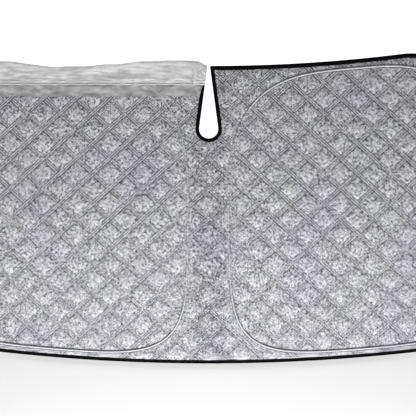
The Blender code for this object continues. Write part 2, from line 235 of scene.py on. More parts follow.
    def outline(self, edge_steps: int = 90, corner_steps: int = 28) -> np.ndarray:
        """The outer edge, closed and clockwise from the top centre.

        Args:
            edge_steps: Steps in each half of a long edge.
            corner_steps: Steps in each corner.

        Returns:
            Plan points, one row each.
        """
        straight_u = self.width / 2 - self.corner_radius
        straight_v = self.height / 2 - self.corner_radius
        rows = [(straight_u * i / edge_steps, self.height / 2) for i in range(edge_steps)]
        for centre_v, first in ((straight_v, 90.0), (-straight_v, 0.0)):
            for i in range(corner_steps + 1):
                angle = math.radians(first - 90.0 * i / corner_steps)
                across, along = math.cos(angle), math.sin(angle)
                rows.append((straight_u + self.corner_radius * across, centre_v + self.corner_radius * along))
        rows += [(straight_u * (1 - i / edge_steps), -self.height / 2) for i in range(1, edge_steps)]
        mirrored = [(-u, v) for u, v in reversed(rows[1:])]
        strip = np.array(rows + [(0.0, -self.height / 2)] + mirrored)
        return self.point(strip[:, 0], strip[:, 1])

    def notch_edge(self, right_y: float, left_y: float, steps: int = 40) -> np.ndarray:
        """The notch's clear edge, down its right side and up its left side.

        Args:
            right_y: Where it starts on the right flank.
            left_y: Where it ends on the left flank.
            steps: Steps round the end.

        Returns:
            Plan points, one row each.
        """
        centre_y = self.top - self.notch_depth
        sweep = math.pi + 2 * self.lean
        angles = [self.lean - sweep * i / steps for i in range(steps + 1)]
        arc = [(self.notch_radius * math.cos(a), centre_y + self.notch_radius * math.sin(a)) for a in angles]
        right = [(float(self.notch_half_width(y)), y) for y in np.linspace(right_y, arc[0][1], 16)[:-1]]
        left = [(-float(self.notch_half_width(y)), y) for y in np.linspace(arc[-1][1], left_y, 16)[1:]]
        return np.array(right + arc + left)

    def ring(self, side: Side, steps: int = 420) -> np.ndarray:
        """One ring's line, closed, clockwise, evenly stepped.

        Args:
            side: Which ring.
            steps: Number of points.

        Returns:
            Plan points, one row each.
        """
        half_v = (self.height - self.ring_top_margin - self.ring_bottom_margin) / 2
        centre_v = (self.ring_bottom_margin - self.ring_top_margin) / 2
        angle = -2 * math.pi * np.arange(steps * 8) / (steps * 8)
        is_inner = side.value * np.cos(angle) < 0
        low_corner = np.where(is_inner, self.ring_inner_corner_squareness, self.ring_outer_corner_squareness)
        power = 2 / np.where(np.sin(angle) > 0, self.ring_top_squareness, low_corner)
        across = np.sign(np.cos(angle)) * np.abs(np.cos(angle)) ** power
        along = np.sign(np.sin(angle)) * np.abs(np.sin(angle)) ** power
        u = side.value * self.ring_offset + self.ring_half_width * across
        fine = self.point(u, centre_v + half_v * along)
        closed = np.vstack([fine, fine[:1]])
        length = running_length(fine)
        wanted = np.linspace(0.0, length[-1], steps, endpoint=False)
        return np.stack([np.interp(wanted, length, closed[:, k]) for k in (0, 1)], axis=-1)


@dataclass(frozen=True)
class Heights:
    """Levels of the sheets above the surface that the shade lies on."""

    back_cloth: float = 1.1 * MM
    front_bottom: float = 2.05 * MM
    pressed: float = 3.1 * MM
    tape_top: float = 4.1 * MM
    band: float = 4.5 * MM
    strip: float = 4.3 * MM
    pillow_rise: float = 2.4 * MM
    channel_crest: float = 7.5 * MM
    wrap_inside: float = 4.7 * MM


@dataclass(frozen=True)
class QuiltLattice:
    """The straight diamond lattice of the quilting."""

    cell_width: float = 0.0843
    cell_height: float = 0.0768
    crossing_below_top: float = 0.0056
    band_width: float = 8.0 * MM
    rim_width: float = 17.0 * MM

    def spacing(self) -> float:
        """Distance between neighbouring parallel lines."""
        half_w, half_h = self.cell_width / 2, self.cell_height / 2
        return 2 * half_w * half_h / math.hypot(half_w, half_h)

    def to_plan(self, s: np.ndarray, t: np.ndarray, origin_y: float) -> np.ndarray:
        """Turn lattice coordinates into plan points.

        Args:
            s: Place along the falling lines' direction, in cells.
            t: Place along the rising lines' direction, in cells.
            origin_y: Height of one crossing on the centre line.

        Returns:
            Plan points.
        """
        return np.stack([(s + t) * self.cell_width / 2, origin_y + (t - s) * self.cell_height / 2], axis=-1)

    def from_plan(self, points: np.ndarray, origin_y: float) -> tuple[np.ndarray, np.ndarray]:
        """Turn plan points into lattice coordinates.

        Args:
            points: Plan points.
            origin_y: Height of one crossing on the centre line.

        Returns:
            Places along the falling and along the rising lines' direction, in cells.
        """
        across = points[..., 0] / (self.cell_width / 2)
        along = (points[..., 1] - origin_y) / (self.cell_height / 2)
        return (across - along) / 2, (across + along) / 2


def mesh_piece(name: str, verts: np.ndarray, faces: list, material: bpy.types.Material) -> bpy.types.Object:
    """Make a mesh object at the origin.

    Args:
        name: The piece's name.
        verts: Points, one row each.
        faces: Index tuples.
        material: Its finish.

    Returns:
        The new object.
    """
    mesh = bpy.data.meshes.new(name)
    mesh.from_pydata([tuple(v) for v in verts], [], [tuple(f) for f in faces])
    mesh.materials.append(material)
    piece = bpy.data.objects.new(name, mesh)
    bpy.context.scene.collection.objects.link(piece)
    return piece


@contextmanager
def mesh_model(piece: bpy.types.Object) -> Iterator[bmesh.types.BMesh]:
    """Open a piece's mesh for modelling and write it back at the end.

    Args:
        piece: The piece.

    Yields:
        The model.
    """
    model = bmesh.new()
    model.from_mesh(piece.data)
    yield model
    model.to_mesh(piece.data)
    model.free()


def shade_round(piece: bpy.types.Object, degrees: float) -> None:
    """Shade a piece smooth where its faces meet at less than an angle."""
    piece.data.shade_smooth()
    piece.data.set_sharp_from_angle(angle=math.radians(degrees))


def made_real(piece: bpy.types.Object) -> bpy.types.Mesh:
    """A plain mesh of a piece with its modifiers applied."""
    evaluated = piece.evaluated_get(bpy.context.evaluated_depsgraph_get())
    return bpy.data.meshes.new_from_object(evaluated)


def running_length(path: np.ndarray) -> np.ndarray:
    """Measure a path that closes on itself.

    Args:
        path: Points, one row each.

    Returns:
        Length up to each point, and up to the first point again.
    """
    steps = np.hypot(*np.diff(np.vstack([path, path[:1]]), axis=0).T)
    return np.concatenate([[0.0], np.cumsum(steps)])


def side_normals(path: np.ndarray, closed: bool) -> np.ndarray:
    """Mitred normals to the right of a plan path.

    Args:
        path: Plan points.
        closed: Whether the path closes on itself.

    Returns:
        One normal for each point, lengthened at corners.
    """
    if closed:
        before = path - np.roll(path, 1, axis=0)
        after = np.roll(path, -1, axis=0) - path
    else:
        steps = np.diff(path, axis=0)
        before = np.vstack([steps[:1], steps])
        after = np.vstack([steps, steps[-1:]])
    before = before / np.linalg.norm(before, axis=1, keepdims=True)
    after = after / np.linalg.norm(after, axis=1, keepdims=True)
    first = np.stack([before[:, 1], -before[:, 0]], axis=-1)
    middle = first + np.stack([after[:, 1], -after[:, 0]], axis=-1)
    middle = middle / np.linalg.norm(middle, axis=1, keepdims=True)
    return middle / np.sum(middle * first, axis=1, keepdims=True)


def sweep(
    name: str,
    path: np.ndarray,
    closed: bool,
    section: list,
    material: bpy.types.Material,
    side: int = 1,
    widths: np.ndarray | None = None,
) -> bpy.types.Object:
    """Run a closed section along a plan path.

    Args:
        name: The piece's name.
        path: Plan points.
        closed: Whether the path closes on itself.
        section: (distance to the path's right, height) pairs.
        material: Its finish.
        side: -1 puts the section on the path's left.
        widths: How much wider the section is at each point of the path.

    Returns:
        The new object, with a UV map in metres along and across.
    """
    normals = side_normals(path, closed) * side
    if widths is not None:
        normals = normals * widths[:, None]
    count, width = len(path), len(section)
    verts = np.empty((count * width, 3))
    for k, (across, height) in enumerate(section):
        verts[k::width, :2] = path + normals * across
        verts[k::width, 2] = height
    faces = []
    for i in range(count if closed else count - 1):
        j = (i + 1) % count
        for k in range(width):
            m = (k + 1) % width
            faces.append((i * width + k, i * width + m, j * width + m, j * width + k))
    if not closed:
        faces.append(tuple(range(width)))
        faces.append(tuple(range(count * width - 1, (count - 1) * width - 1, -1)))
    piece = mesh_piece(name, verts, faces, material)
    add_sweep_uv(piece, path, section, closed)
    with mesh_model(piece) as model:
        bmesh.ops.recalc_face_normals(model, faces=model.faces)
    shade_round(piece, 50)
    return piece


def add_sweep_uv(piece: bpy.types.Object, path: np.ndarray, section: list, closed: bool) -> None:
    """Give a swept piece a UV map: metres along the path and across the section.

    Args:
        piece: The swept piece.
        path: Plan points of its path.
        section: Points of its section.
        closed: Whether the path closes on itself.
    """
    width = len(section)
    along, around = running_length(path), running_length(np.array(section))
    layer = piece.data.uv_layers.new(name="along")
    for polygon in piece.data.polygons:
        indices = [piece.data.loops[k].vertex_index for k in polygon.loop_indices]
        rows = [index // width for index in indices]
        columns = [index % width for index in indices]
        wraps_path = closed and max(rows) - min(rows) > 1
        wraps_section = len(indices) == 4 and max(columns) - min(columns) > 1
        for k, row, column in zip(polygon.loop_indices, rows, columns):
            row = row + len(path) if wraps_path and row == 0 else row
            column = column + width if wraps_section and column == 0 else column
            layer.data[k].uv = (along[row], around[column])


class NodeSheet:
    """A short hand for building a material's nodes."""

    def __init__(self, name: str) -> None:
        """Start a material with a Principled shader.

        Args:
            name: The material's name.
        """
        self.material = bpy.data.materials.new(name)
        self.material.use_nodes = True
        self.nodes = self.material.node_tree.nodes
        self.links = self.material.node_tree.links
        self.shader = self.nodes["Principled BSDF"]
        coordinates = self.nodes.new("ShaderNodeTexCoord")
        self.place = coordinates.outputs["Object"]
        self.uv = coordinates.outputs["UV"]

    def _feed(self, socket: Socket, value: Value | tuple) -> None:
        """Link a socket's source, or set its value.

        Args:
            socket: The input to fill.
            value: An output to link, or a plain value.
        """
        if isinstance(value, Socket):
            self.links.new(value, socket)
        else:
            socket.default_value = value

    def _node(self, kind: str, **values: Value | tuple) -> bpy.types.Node:
        """Add a node and fill its named inputs.

        Args:
            kind: The node's type.
            values: What goes into each input, its name written with underscores.

        Returns:
            The new node.
        """
        node = self.nodes.new(kind)
        for name, value in values.items():
            self._feed(node.inputs[name.replace("_", " ")], value)
        return node

    def set(self, name: str, value: Value | tuple) -> None:
        """Set or link one input of the shader."""
        self._feed(self.shader.inputs[name], value)

    def math(self, operation: str, *values: Value, clamp: bool = False) -> Socket:
        """Calculate with a Math node.

        Args:
            operation: The node's operation.
            values: What goes into its inputs, in order.
            clamp: Whether the result is kept between 0 and 1.

        Returns:
            The result.
        """
        node = self.nodes.new("ShaderNodeMath")
        node.operation = operation
        node.use_clamp = clamp
        for socket, value in zip(node.inputs, values):
            self._feed(socket, value)
        return node.outputs[0]

    def swing(self, value: Value, gain: float, base: Value = 0.0, middle: float = 0.5) -> Socket:
        """A value's distance from its middle, times a gain, on top of a base."""
        return self.math("MULTIPLY_ADD", self.math("SUBTRACT", value, middle), gain, base)

    def off(self, value: Value, target: Value) -> Socket:
        """How far a value lies from a target, either way."""
        return self.math("ABSOLUTE", self.math("SUBTRACT", value, target))

    def rest(self, share: Value) -> Socket:
        """What a share leaves of 1."""
        return self.math("SUBTRACT", 1.0, share)

    def product(self, *values: Value) -> Socket:
        """The values multiplied together."""
        return reduce(lambda total, value: self.math("MULTIPLY", total, value), values)

    def dot(self, vector: Socket, direction: tuple) -> Socket:
        """The part of a vector along a direction.

        Args:
            vector: The vector.
            direction: The direction, whose length scales the result.

        Returns:
            The dot product.
        """
        node = self.nodes.new("ShaderNodeVectorMath")
        node.operation = "DOT_PRODUCT"
        self._feed(node.inputs[0], vector)
        node.inputs[1].default_value = direction
        return node.outputs["Value"]

    def axes(self, vector: Socket) -> tuple[Socket, Socket]:
        """A vector's X and Y parts."""
        return self.dot(vector, (1.0, 0.0, 0.0)), self.dot(vector, (0.0, 1.0, 0.0))

    def turned(
        self, degrees: float, stretch: tuple = (1.0, 1.0, 1.0), vector: Socket | None = None
    ) -> Socket:
        """Turn coordinates about Z and stretch what is drawn on them.

        Args:
            degrees: The turn.
            stretch: How much longer the pattern is along each axis.
            vector: The coordinates, or the object's own.

        Returns:
            The new coordinates.
        """
        turn = (0.0, 0.0, math.radians(degrees))
        node = self._node("ShaderNodeMapping", Vector=vector or self.place, Rotation=turn, Scale=stretch)
        node.vector_type = "TEXTURE"
        return node.outputs[0]

    def noise(self, vector: Socket, scale: float, detail: float = 2.0, roughness: float = 0.5) -> Socket:
        """A noise.

        Args:
            vector: The coordinates.
            scale: How fine it is.
            detail: How many finer layers lie on it.
            roughness: How strong these are.

        Returns:
            The noise, from 0 to 1.
        """
        values = {"Scale": scale, "Detail": detail, "Roughness": roughness}
        node = self._node("ShaderNodeTexNoise", Vector=vector, **values)
        return node.outputs["Fac"]

    def cells(self, vector: Socket, scale: float, randomness: float) -> Socket:
        """Distance to scattered points, 0 at a point and near 1 between them."""
        node = self._node("ShaderNodeTexVoronoi", Vector=vector, Scale=scale, Randomness=randomness)
        return node.outputs["Distance"]

    def wave(
        self, vector: Socket, period: float, distortion: float, detail_scale: float = 1.0, phase: float = 0.0
    ) -> Socket:
        """Draw bands across X.

        Args:
            vector: The coordinates.
            period: Width of one band and gap, in metres.
            distortion: How far the bands wander.
            detail_scale: How finely they wander.
            phase: Where the first band starts.

        Returns:
            The bands, from 0 to 1.
        """
        node = self._node(
            "ShaderNodeTexWave", Vector=vector, Scale=2 * math.pi / 20 / period, Distortion=distortion,
            Detail=1.5, Detail_Scale=detail_scale, Phase_Offset=phase,
        )
        node.bands_direction = "X"
        return node.outputs["Fac"]

    def weave(self, vector: Socket, thread: float) -> Socket:
        """Threads crossing at right angles, from 0 to 1.

        Args:
            vector: The coordinates.
            thread: Width of one thread and gap, in metres.

        Returns:
            The height of the weave.
        """
        wander = 0.4
        crossing = self.turned(90.0, vector=vector)
        threads = self.math("ADD", self.wave(vector, thread, wander), self.wave(crossing, thread, wander))
        return self.math("MULTIPLY", threads, 0.5)

    def range(
        self, value: Value, low: float, high: float, to_low: float = 0.0, to_high: float = 1.0
    ) -> Socket:
        """Map a range smoothly onto another.

        Args:
            value: What is mapped.
            low: Start of its range.
            high: End of its range.
            to_low: The result at the start and below it.
            to_high: The result at the end and above it.

        Returns:
            The mapped value.
        """
        node = self._node(
            "ShaderNodeMapRange", Value=value, From_Min=low, From_Max=high, To_Min=to_low, To_Max=to_high
        )
        node.interpolation_type = "SMOOTHSTEP"
        return node.outputs["Result"]

    def mix(
        self, share: Value, first: Socket | tuple, second: Socket | tuple, blend: str = "MIX"
    ) -> Socket:
        """Blend two colours.

        Args:
            share: How much of the second goes in.
            first: A colour, or an output that gives one.
            second: The other colour.
            blend: The way of blending.

        Returns:
            The blended colour.
        """
        node = self.nodes.new("ShaderNodeMix")
        node.data_type = "RGBA"
        node.blend_type = blend
        self._feed(node.inputs[0], share)
        for socket, colour in ((node.inputs[6], first), (node.inputs[7], second)):
            self._feed(socket, colour if isinstance(colour, Socket) else (*colour, 1.0))
        return node.outputs[2]

    def bump(self, height: Value, distance: float, strength: float) -> Socket:
        """Bump from a height of 0 to 1, distance metres high."""
        node = self._node("ShaderNodeBump", Strength=strength, Distance=distance, Height=height)
        return node.outputs[0]


@dataclass(frozen=True)
class FoilFinish:
    """Metallised film over padding: sandy creases, crossed patches, faint tints and stitched bands, with
    painted glints, highlights and shade.

    A span says where a value's range starts and ends, then what it gives at the start and the end.
    """

    name: str
    lattice: QuiltLattice
    origin_y: float
    quilted: bool = True
    dark: tuple = (0.058, 0.058, 0.070)
    light: tuple = (0.74, 0.74, 0.772)
    smooth_tint: tuple = (1.0, 1.0, 0.96)
    violet_tint: tuple = (0.90, 0.84, 0.96)
    green_tint: tuple = (0.95, 0.99, 0.91)
    metallic: float = 0.16
    roughness: float = 0.64
    specular: float = 0.16
    strip_low: float = 1.0
    strip_reach: float = 0.619
    hem_y: float = 1.0
    grain_scale: float = 430.0
    dent_size: float = 4.9 * MM
    thread_scale: float = 390.0
    dot_period: float = 6.6 * MM
    line_step: float = 2.6 * MM
    line_darkness: float = 0.54
    line_depth: float = 1.2
    ridge_highlight: float = 0.33
    pillow_shade_strength: float = 0.11
    pillow_shade_level: float = 0.66
    bead_at: float = 0.0
    bead_reach: float = 1.0
    low_edge: float = -0.3955
    bow_radius: float = 4.6
    margin_strength: float = 0.85
    patch_span: tuple = (0.50, 0.60, 0.0, 0.9)
    glint_span: tuple = (0.68, 0.80, 0.0, 0.6)
    deep_span: tuple = (0.42, 0.58, 0.25, 1.0)
    pull_patches: tuple = (0.34, 0.56, 0.60, 1.0)
    pull_lower: tuple = (-0.26, 0.08, 0.46, 1.0)
    pull_middle: tuple = (0.06, 0.20, 0.76, 1.0)
    margin_band: tuple = (16 * MM, 25 * MM, 1.0, 0.0)
    bead_light_and_shade: tuple = (0.27, -0.32)
    top_turn: tuple = (0.235, 0.275, 0.0, 1.0)
    low_turn: tuple = (-0.27, -0.20, 1.0, 0.0)
    lower_relief: tuple = (-0.36, 0.0, 0.63, 1.01)
    centre_shade: tuple = (38 * MM, 50 * MM, 0.11, 0.0)
    lower_shade: tuple = (-0.34, -0.10, 0.065, 0.0)
    violet_span: tuple = (0.46, 0.68, 0.0, 0.40)
    green_span: tuple = (0.52, 0.72, 0.0, 0.35)

    def _creases(self, sheet: NodeSheet) -> Socket:
        """Fine grain, dents, short threads both ways, patches of crossed dots and sparse painted glints.

        Args:
            sheet: The material's nodes.

        Returns:
            The relief, about 0 on average.
        """
        total = sheet.swing(sheet.noise(sheet.place, self.grain_scale, 1.0), 2.0)
        plane = sheet.turned(33.0, (1.0, 1.0, 1000.0))
        total = sheet.swing(sheet.cells(plane, 1 / self.dent_size, 0.8), 0.90, total, 0.45)
        waves = []
        for degrees, phase in ((45.0, 0.0), (-45.0, 2.0)):
            thread = sheet.noise(sheet.turned(degrees, (1.0, 3.2, 1.0)), self.thread_scale + phase, 0.0)
            total = sheet.swing(thread, 1.2, total)
            dots = sheet.wave(sheet.turned(degrees), self.dot_period, 1.2, 1.5, phase)
            waves.append(sheet.swing(dots, 1.0))
        patch = sheet.range(sheet.noise(sheet.place, 26.0, 1.0), *self.patch_span)
        total = sheet.math("MULTIPLY_ADD", sheet.product(*waves), patch, total)
        total = sheet.swing(sheet.noise(sheet.place, 30.0), 0.08, total)
        # Painted glints: sparse bright specks where light would catch the crinkled foil.
        glint = sheet.range(sheet.noise(sheet.turned(20.0), 300.0, 0.0), *self.glint_span)
        return sheet.math("ADD", total, glint)

    def _bands(self, sheet: NodeSheet) -> tuple[Socket, ...]:
        """The quilting's bands, the falling ones above the rising ones on the right half.

        Args:
            sheet: The material's nodes.

        Returns:
            Sewn lines, partly painted groove shade; painted highlights on the ridge between two lines; the
            calm band that holds them; and its flanks, which carry the painted pillow shade.
        """
        half_w, half_h = self.lattice.cell_width / 2, self.lattice.cell_height / 2
        place = sheet.nodes.new("ShaderNodeVectorMath")
        place.operation = "SUBTRACT"
        sheet.links.new(sheet.place, place.inputs[0])
        place.inputs[1].default_value = (0.0, self.origin_y, 0.0)
        place = place.outputs[0]
        right_half = sheet.range(sheet.dot(place, (1.0, 0.0, 0.0)), -0.5 * MM, 0.5 * MM)
        distances = []
        for slant in (0.5 / half_h, -0.5 / half_h):
            cells = sheet.dot(place, (0.5 / half_w, slant, 0.0))
            off_line = sheet.off(cells, sheet.math("ROUND", cells))
            distances.append(sheet.product(off_line, self.lattice.spacing()))
        falling, rising = distances
        step = self.line_step
        thin = (0.15 * step, 0.55 * step)
        parts = []
        for own, other, covered in ((falling, rising, sheet.rest(right_half)), (rising, falling, right_half)):
            line = sheet.range(sheet.off(own, 2 * step), *thin, 1.0, 0.0)
            middle = sheet.range(own, *thin, 0.85, 0.0)
            # Painted highlight on the ridge between two sewn lines.
            ridge = sheet.range(sheet.off(own, step), *thin, 1.0, 0.0)
            under = sheet.product(sheet.range(other, 2.2 * step, 2.5 * step, 1.0, 0.0), covered)
            shown = sheet.math("SUBTRACT", sheet.math("MULTIPLY_ADD", covered, -0.10, 1.0), under, clamp=True)
            calm = sheet.range(own, 2.3 * step, 2.9 * step, 1.0, 0.0)
            # Flank of the band, for the painted pillow shade.
            flank = sheet.range(own, 1.5 * step, 6.5 * step, 1.0, 0.0)
            line = sheet.math("MAXIMUM", line, middle)
            parts.append((sheet.product(line, shown), sheet.product(ridge, shown), calm, flank))
        return tuple(sheet.math("MAXIMUM", *pair) for pair in zip(*parts))

    def _rough_area(self, sheet: NodeSheet) -> Socket:
        """Find the creased foil.

        Args:
            sheet: The material's nodes.

        Returns:
            1 on the creased foil, 0 on the smooth strip below the pale wrap.
        """
        across, up = sheet.axes(sheet.place)
        ragged = sheet.math("MULTIPLY_ADD", sheet.noise(sheet.place, 45.0), 9.0 * MM, up)
        above = sheet.range(ragged, self.strip_low + 3.0 * MM, self.strip_low + 7.0 * MM)
        left = sheet.range(across, -1.0 * MM, 1.0 * MM, 1.0, 0.0)
        ended = sheet.range(across, -self.strip_reach - 2 * MM, -self.strip_reach + 2 * MM)
        return sheet.rest(sheet.product(above, sheet.product(left, ended)))

    def _hem_shadow(self, sheet: NodeSheet) -> Socket:
        """Painted shadow in a thin line under the wrap's hem.

        Args:
            sheet: The material's nodes.

        Returns:
            Its darkness, deeper in places.
        """
        across, up = sheet.axes(sheet.place)
        shade_line = sheet.range(sheet.off(up, self.hem_y - 1.5 * MM), 0.8 * MM, 2.0 * MM, 0.30, 0.0)
        left = sheet.range(across, -1.0 * MM, 1.0 * MM, 1.0, 0.0)
        deep = sheet.range(sheet.noise(sheet.turned(0.0, (2.0, 1.0, 1.0)), 26.0, 1.0), *self.deep_span)
        return sheet.product(shade_line, left, deep)

    def _pull(self, sheet: NodeSheet, across: Socket, up: Socket) -> Socket:
        """How tightly the quilting is pulled: slacker towards the bottom and the middle, and in patches.

        Args:
            sheet: The material's nodes.
            across: Distance from the centre line.
            up: Height in the plan.

        Returns:
            A share from 0 to 1.
        """
        patches = sheet.range(sheet.noise(sheet.place, 16.0, 1.0), *self.pull_patches)
        lower = sheet.range(up, *self.pull_lower)
        middle = sheet.range(across, *self.pull_middle)
        return sheet.product(patches, sheet.product(lower, middle))

    def _margin_highlights(self, sheet: NodeSheet, shade: Socket, across: Socket, up: Socket) -> Socket:
        """Paint long streaks of highlight and shade on the calm foil between the rings and the bottom tape.

        Args:
            sheet: The material's nodes.
            shade: The tone so far.
            across: Distance from the centre line.
            up: Height in the plan.

        Returns:
            The tone with the streaks.
        """
        bow = sheet.product(sheet.math("POWER", across, 2.0), 0.5 / self.bow_radius)
        edge = sheet.math("SUBTRACT", sheet.math("SUBTRACT", up, bow), self.low_edge)
        margin = sheet.range(edge, *self.margin_band)
        patches = sheet.range(sheet.noise(sheet.place, 5.0, 1.0), 0.42, 0.55)
        margin = sheet.product(margin, patches, self.margin_strength)
        # Painted highlights and shade in long streaks.
        streaks = sheet.swing(sheet.noise(sheet.turned(4.0, (12.0, 1.0, 1.0)), 240.0, 1.0), 1.6, 0.50)
        return sheet.math("MULTIPLY_ADD", streaks, margin, sheet.product(shade, sheet.rest(margin)))

    def _bead_highlight_and_shade(self, sheet: NodeSheet, curved: Socket) -> Socket:
        """A painted highlight along the channel's bead with painted shade beside it.

        Args:
            sheet: The material's nodes.
            curved: 1 where the ring turns, which is where the bead shows most and its painted highlight and
                shade are strongest.

        Returns:
            What is added to the tone.
        """
        off_bead = sheet.off(sheet.axes(sheet.uv)[1], self.bead_at)
        tight = sheet.range(off_bead, 0.75 * self.bead_reach, 1.05 * self.bead_reach, *self.bead_light_and_shade)
        return sheet.product(tight, sheet.math("MULTIPLY_ADD", curved, 0.74, 0.26))

    def _tinted(self, sheet: NodeSheet, shade: Socket, rough: Socket) -> Socket:
        """Colour the foil and tint it in soft areas.

        Args:
            sheet: The material's nodes.
            shade: The tone, 0 dark and 1 light.
            rough: 1 on the creased foil.

        Returns:
            The colour.
        """
        colour = sheet.mix(sheet.math("ADD", shade, 0.0, clamp=True), self.dark, self.light)
        colour = sheet.mix(sheet.rest(rough), colour, self.smooth_tint, "MULTIPLY")
        violet = sheet.range(sheet.noise(sheet.place, 5.5, 1.0), *self.violet_span)
        colour = sheet.mix(sheet.product(violet, rough), colour, self.violet_tint, "MULTIPLY")
        green = sheet.range(sheet.noise(sheet.turned(30.0), 7.0, 1.0), *self.green_span)
        return sheet.mix(green, colour, self.green_tint, "MULTIPLY")

    def build(self) -> bpy.types.Material:
        """Make the material.

        Returns:
            The material.
        """
        sheet = NodeSheet(self.name)
        across, up = sheet.axes(sheet.place)
        across = sheet.math("ABSOLUTE", across)
        rough = self._rough_area(sheet)
        relief = sheet.product(self._creases(sheet), sheet.math("MULTIPLY_ADD", rough, 0.92, 0.08))
        soft = sheet.swing(sheet.noise(sheet.turned(0.0, (2.2, 1.0, 1.0)), 85.0), 1.25)
        relief = sheet.math("MULTIPLY_ADD", soft, sheet.rest(rough), relief)
        relief = sheet.product(relief, sheet.range(up, *self.lower_relief))
        if self.bead_at:
            curved = sheet.math("MAXIMUM", sheet.range(up, *self.top_turn), sheet.range(up, *self.low_turn))
            relief = sheet.product(relief, sheet.math("MULTIPLY_ADD", curved, -0.7, 1.0))
        if self.quilted:
            pull = sheet.product(self._pull(sheet, across, up), rough)
            *pulled_parts, flanks = self._bands(sheet)
            lines, ridges, calm = (sheet.product(part, pull) for part in pulled_parts)
            relief = sheet.product(relief, sheet.math("MULTIPLY_ADD", calm, -0.45, 1.0))
        height = sheet.product(relief, 0.45)
        shade = sheet.math("ADD", relief, sheet.math("MULTIPLY_ADD", rough, -0.155, 0.63))
        shade = sheet.math("SUBTRACT", shade, sheet.range(across, *self.centre_shade))
        shade = sheet.math("SUBTRACT", shade, sheet.range(up, *self.lower_shade))
        if self.quilted:
            shade = self._margin_highlights(sheet, shade, across, up)
            # Painted pillow shade: darker near the sewn lines, lighter in the middle of each diamond.
            flank = sheet.product(sheet.math("SUBTRACT", self.pillow_shade_level, flanks), rough)
            shade = sheet.math("MULTIPLY_ADD", flank, self.pillow_shade_strength, shade)
            # Sewn lines darkened for the stitching and for painted shade in their grooves; painted highlights
            # on the ridges.
            shade = sheet.math("MULTIPLY_ADD", lines, -self.line_darkness, shade)
            shade = sheet.math("MULTIPLY_ADD", ridges, self.ridge_highlight, shade)
            height = sheet.math("MULTIPLY_ADD", lines, -self.line_depth, height)
            # Painted shadow under the wrap's hem.
            shade = sheet.math("SUBTRACT", shade, self._hem_shadow(sheet))
        # Painted highlight on the bead and painted shade beside it.
        if self.bead_at:
            shade = sheet.math("MULTIPLY_ADD", self._bead_highlight_and_shade(sheet, curved), rough, shade)
        sheet.set("Base Color", self._tinted(sheet, shade, rough))
        sheet.set("Metallic", self.metallic)
        sheet.set("Roughness", self.roughness)
        sheet.set("Specular IOR Level", self.specular)
        sheet.set("Normal", sheet.bump(height, 0.9 * MM, 0.55))
        return sheet.material


@dataclass(frozen=True)
class ClothFinish:
    """Woven cloth or tape, from the piece's own UV map or its Object coordinates."""

    name: str
    colour: tuple
    thread: float
    roughness: float = 0.85
    contrast: float = 0.5
    on_uv: bool = False
    specular: float = 0.5
    fade: float = 0.004

    def build(self) -> bpy.types.Material:
        """Make the material.

        Returns:
            The material.
        """
        sheet = NodeSheet(self.name)
        place = sheet.uv if self.on_uv else sheet.place
        weave = sheet.weave(place, self.thread)
        dark = tuple(c * (1 - self.contrast) for c in self.colour)
        worn = tuple(min(c * 1.6 + self.fade, 1.0) for c in self.colour)
        wear = sheet.range(sheet.noise(place, 90.0, 3.0, 0.6), 0.35, 0.75, 0.0, 0.25)
        sheet.set("Base Color", sheet.mix(wear, sheet.mix(weave, dark, self.colour), worn))
        sheet.set("Roughness", self.roughness)
        sheet.set("Specular IOR Level", self.specular)
        sheet.set("Normal", sheet.bump(weave, self.thread * 0.3, 0.6))
        return sheet.material


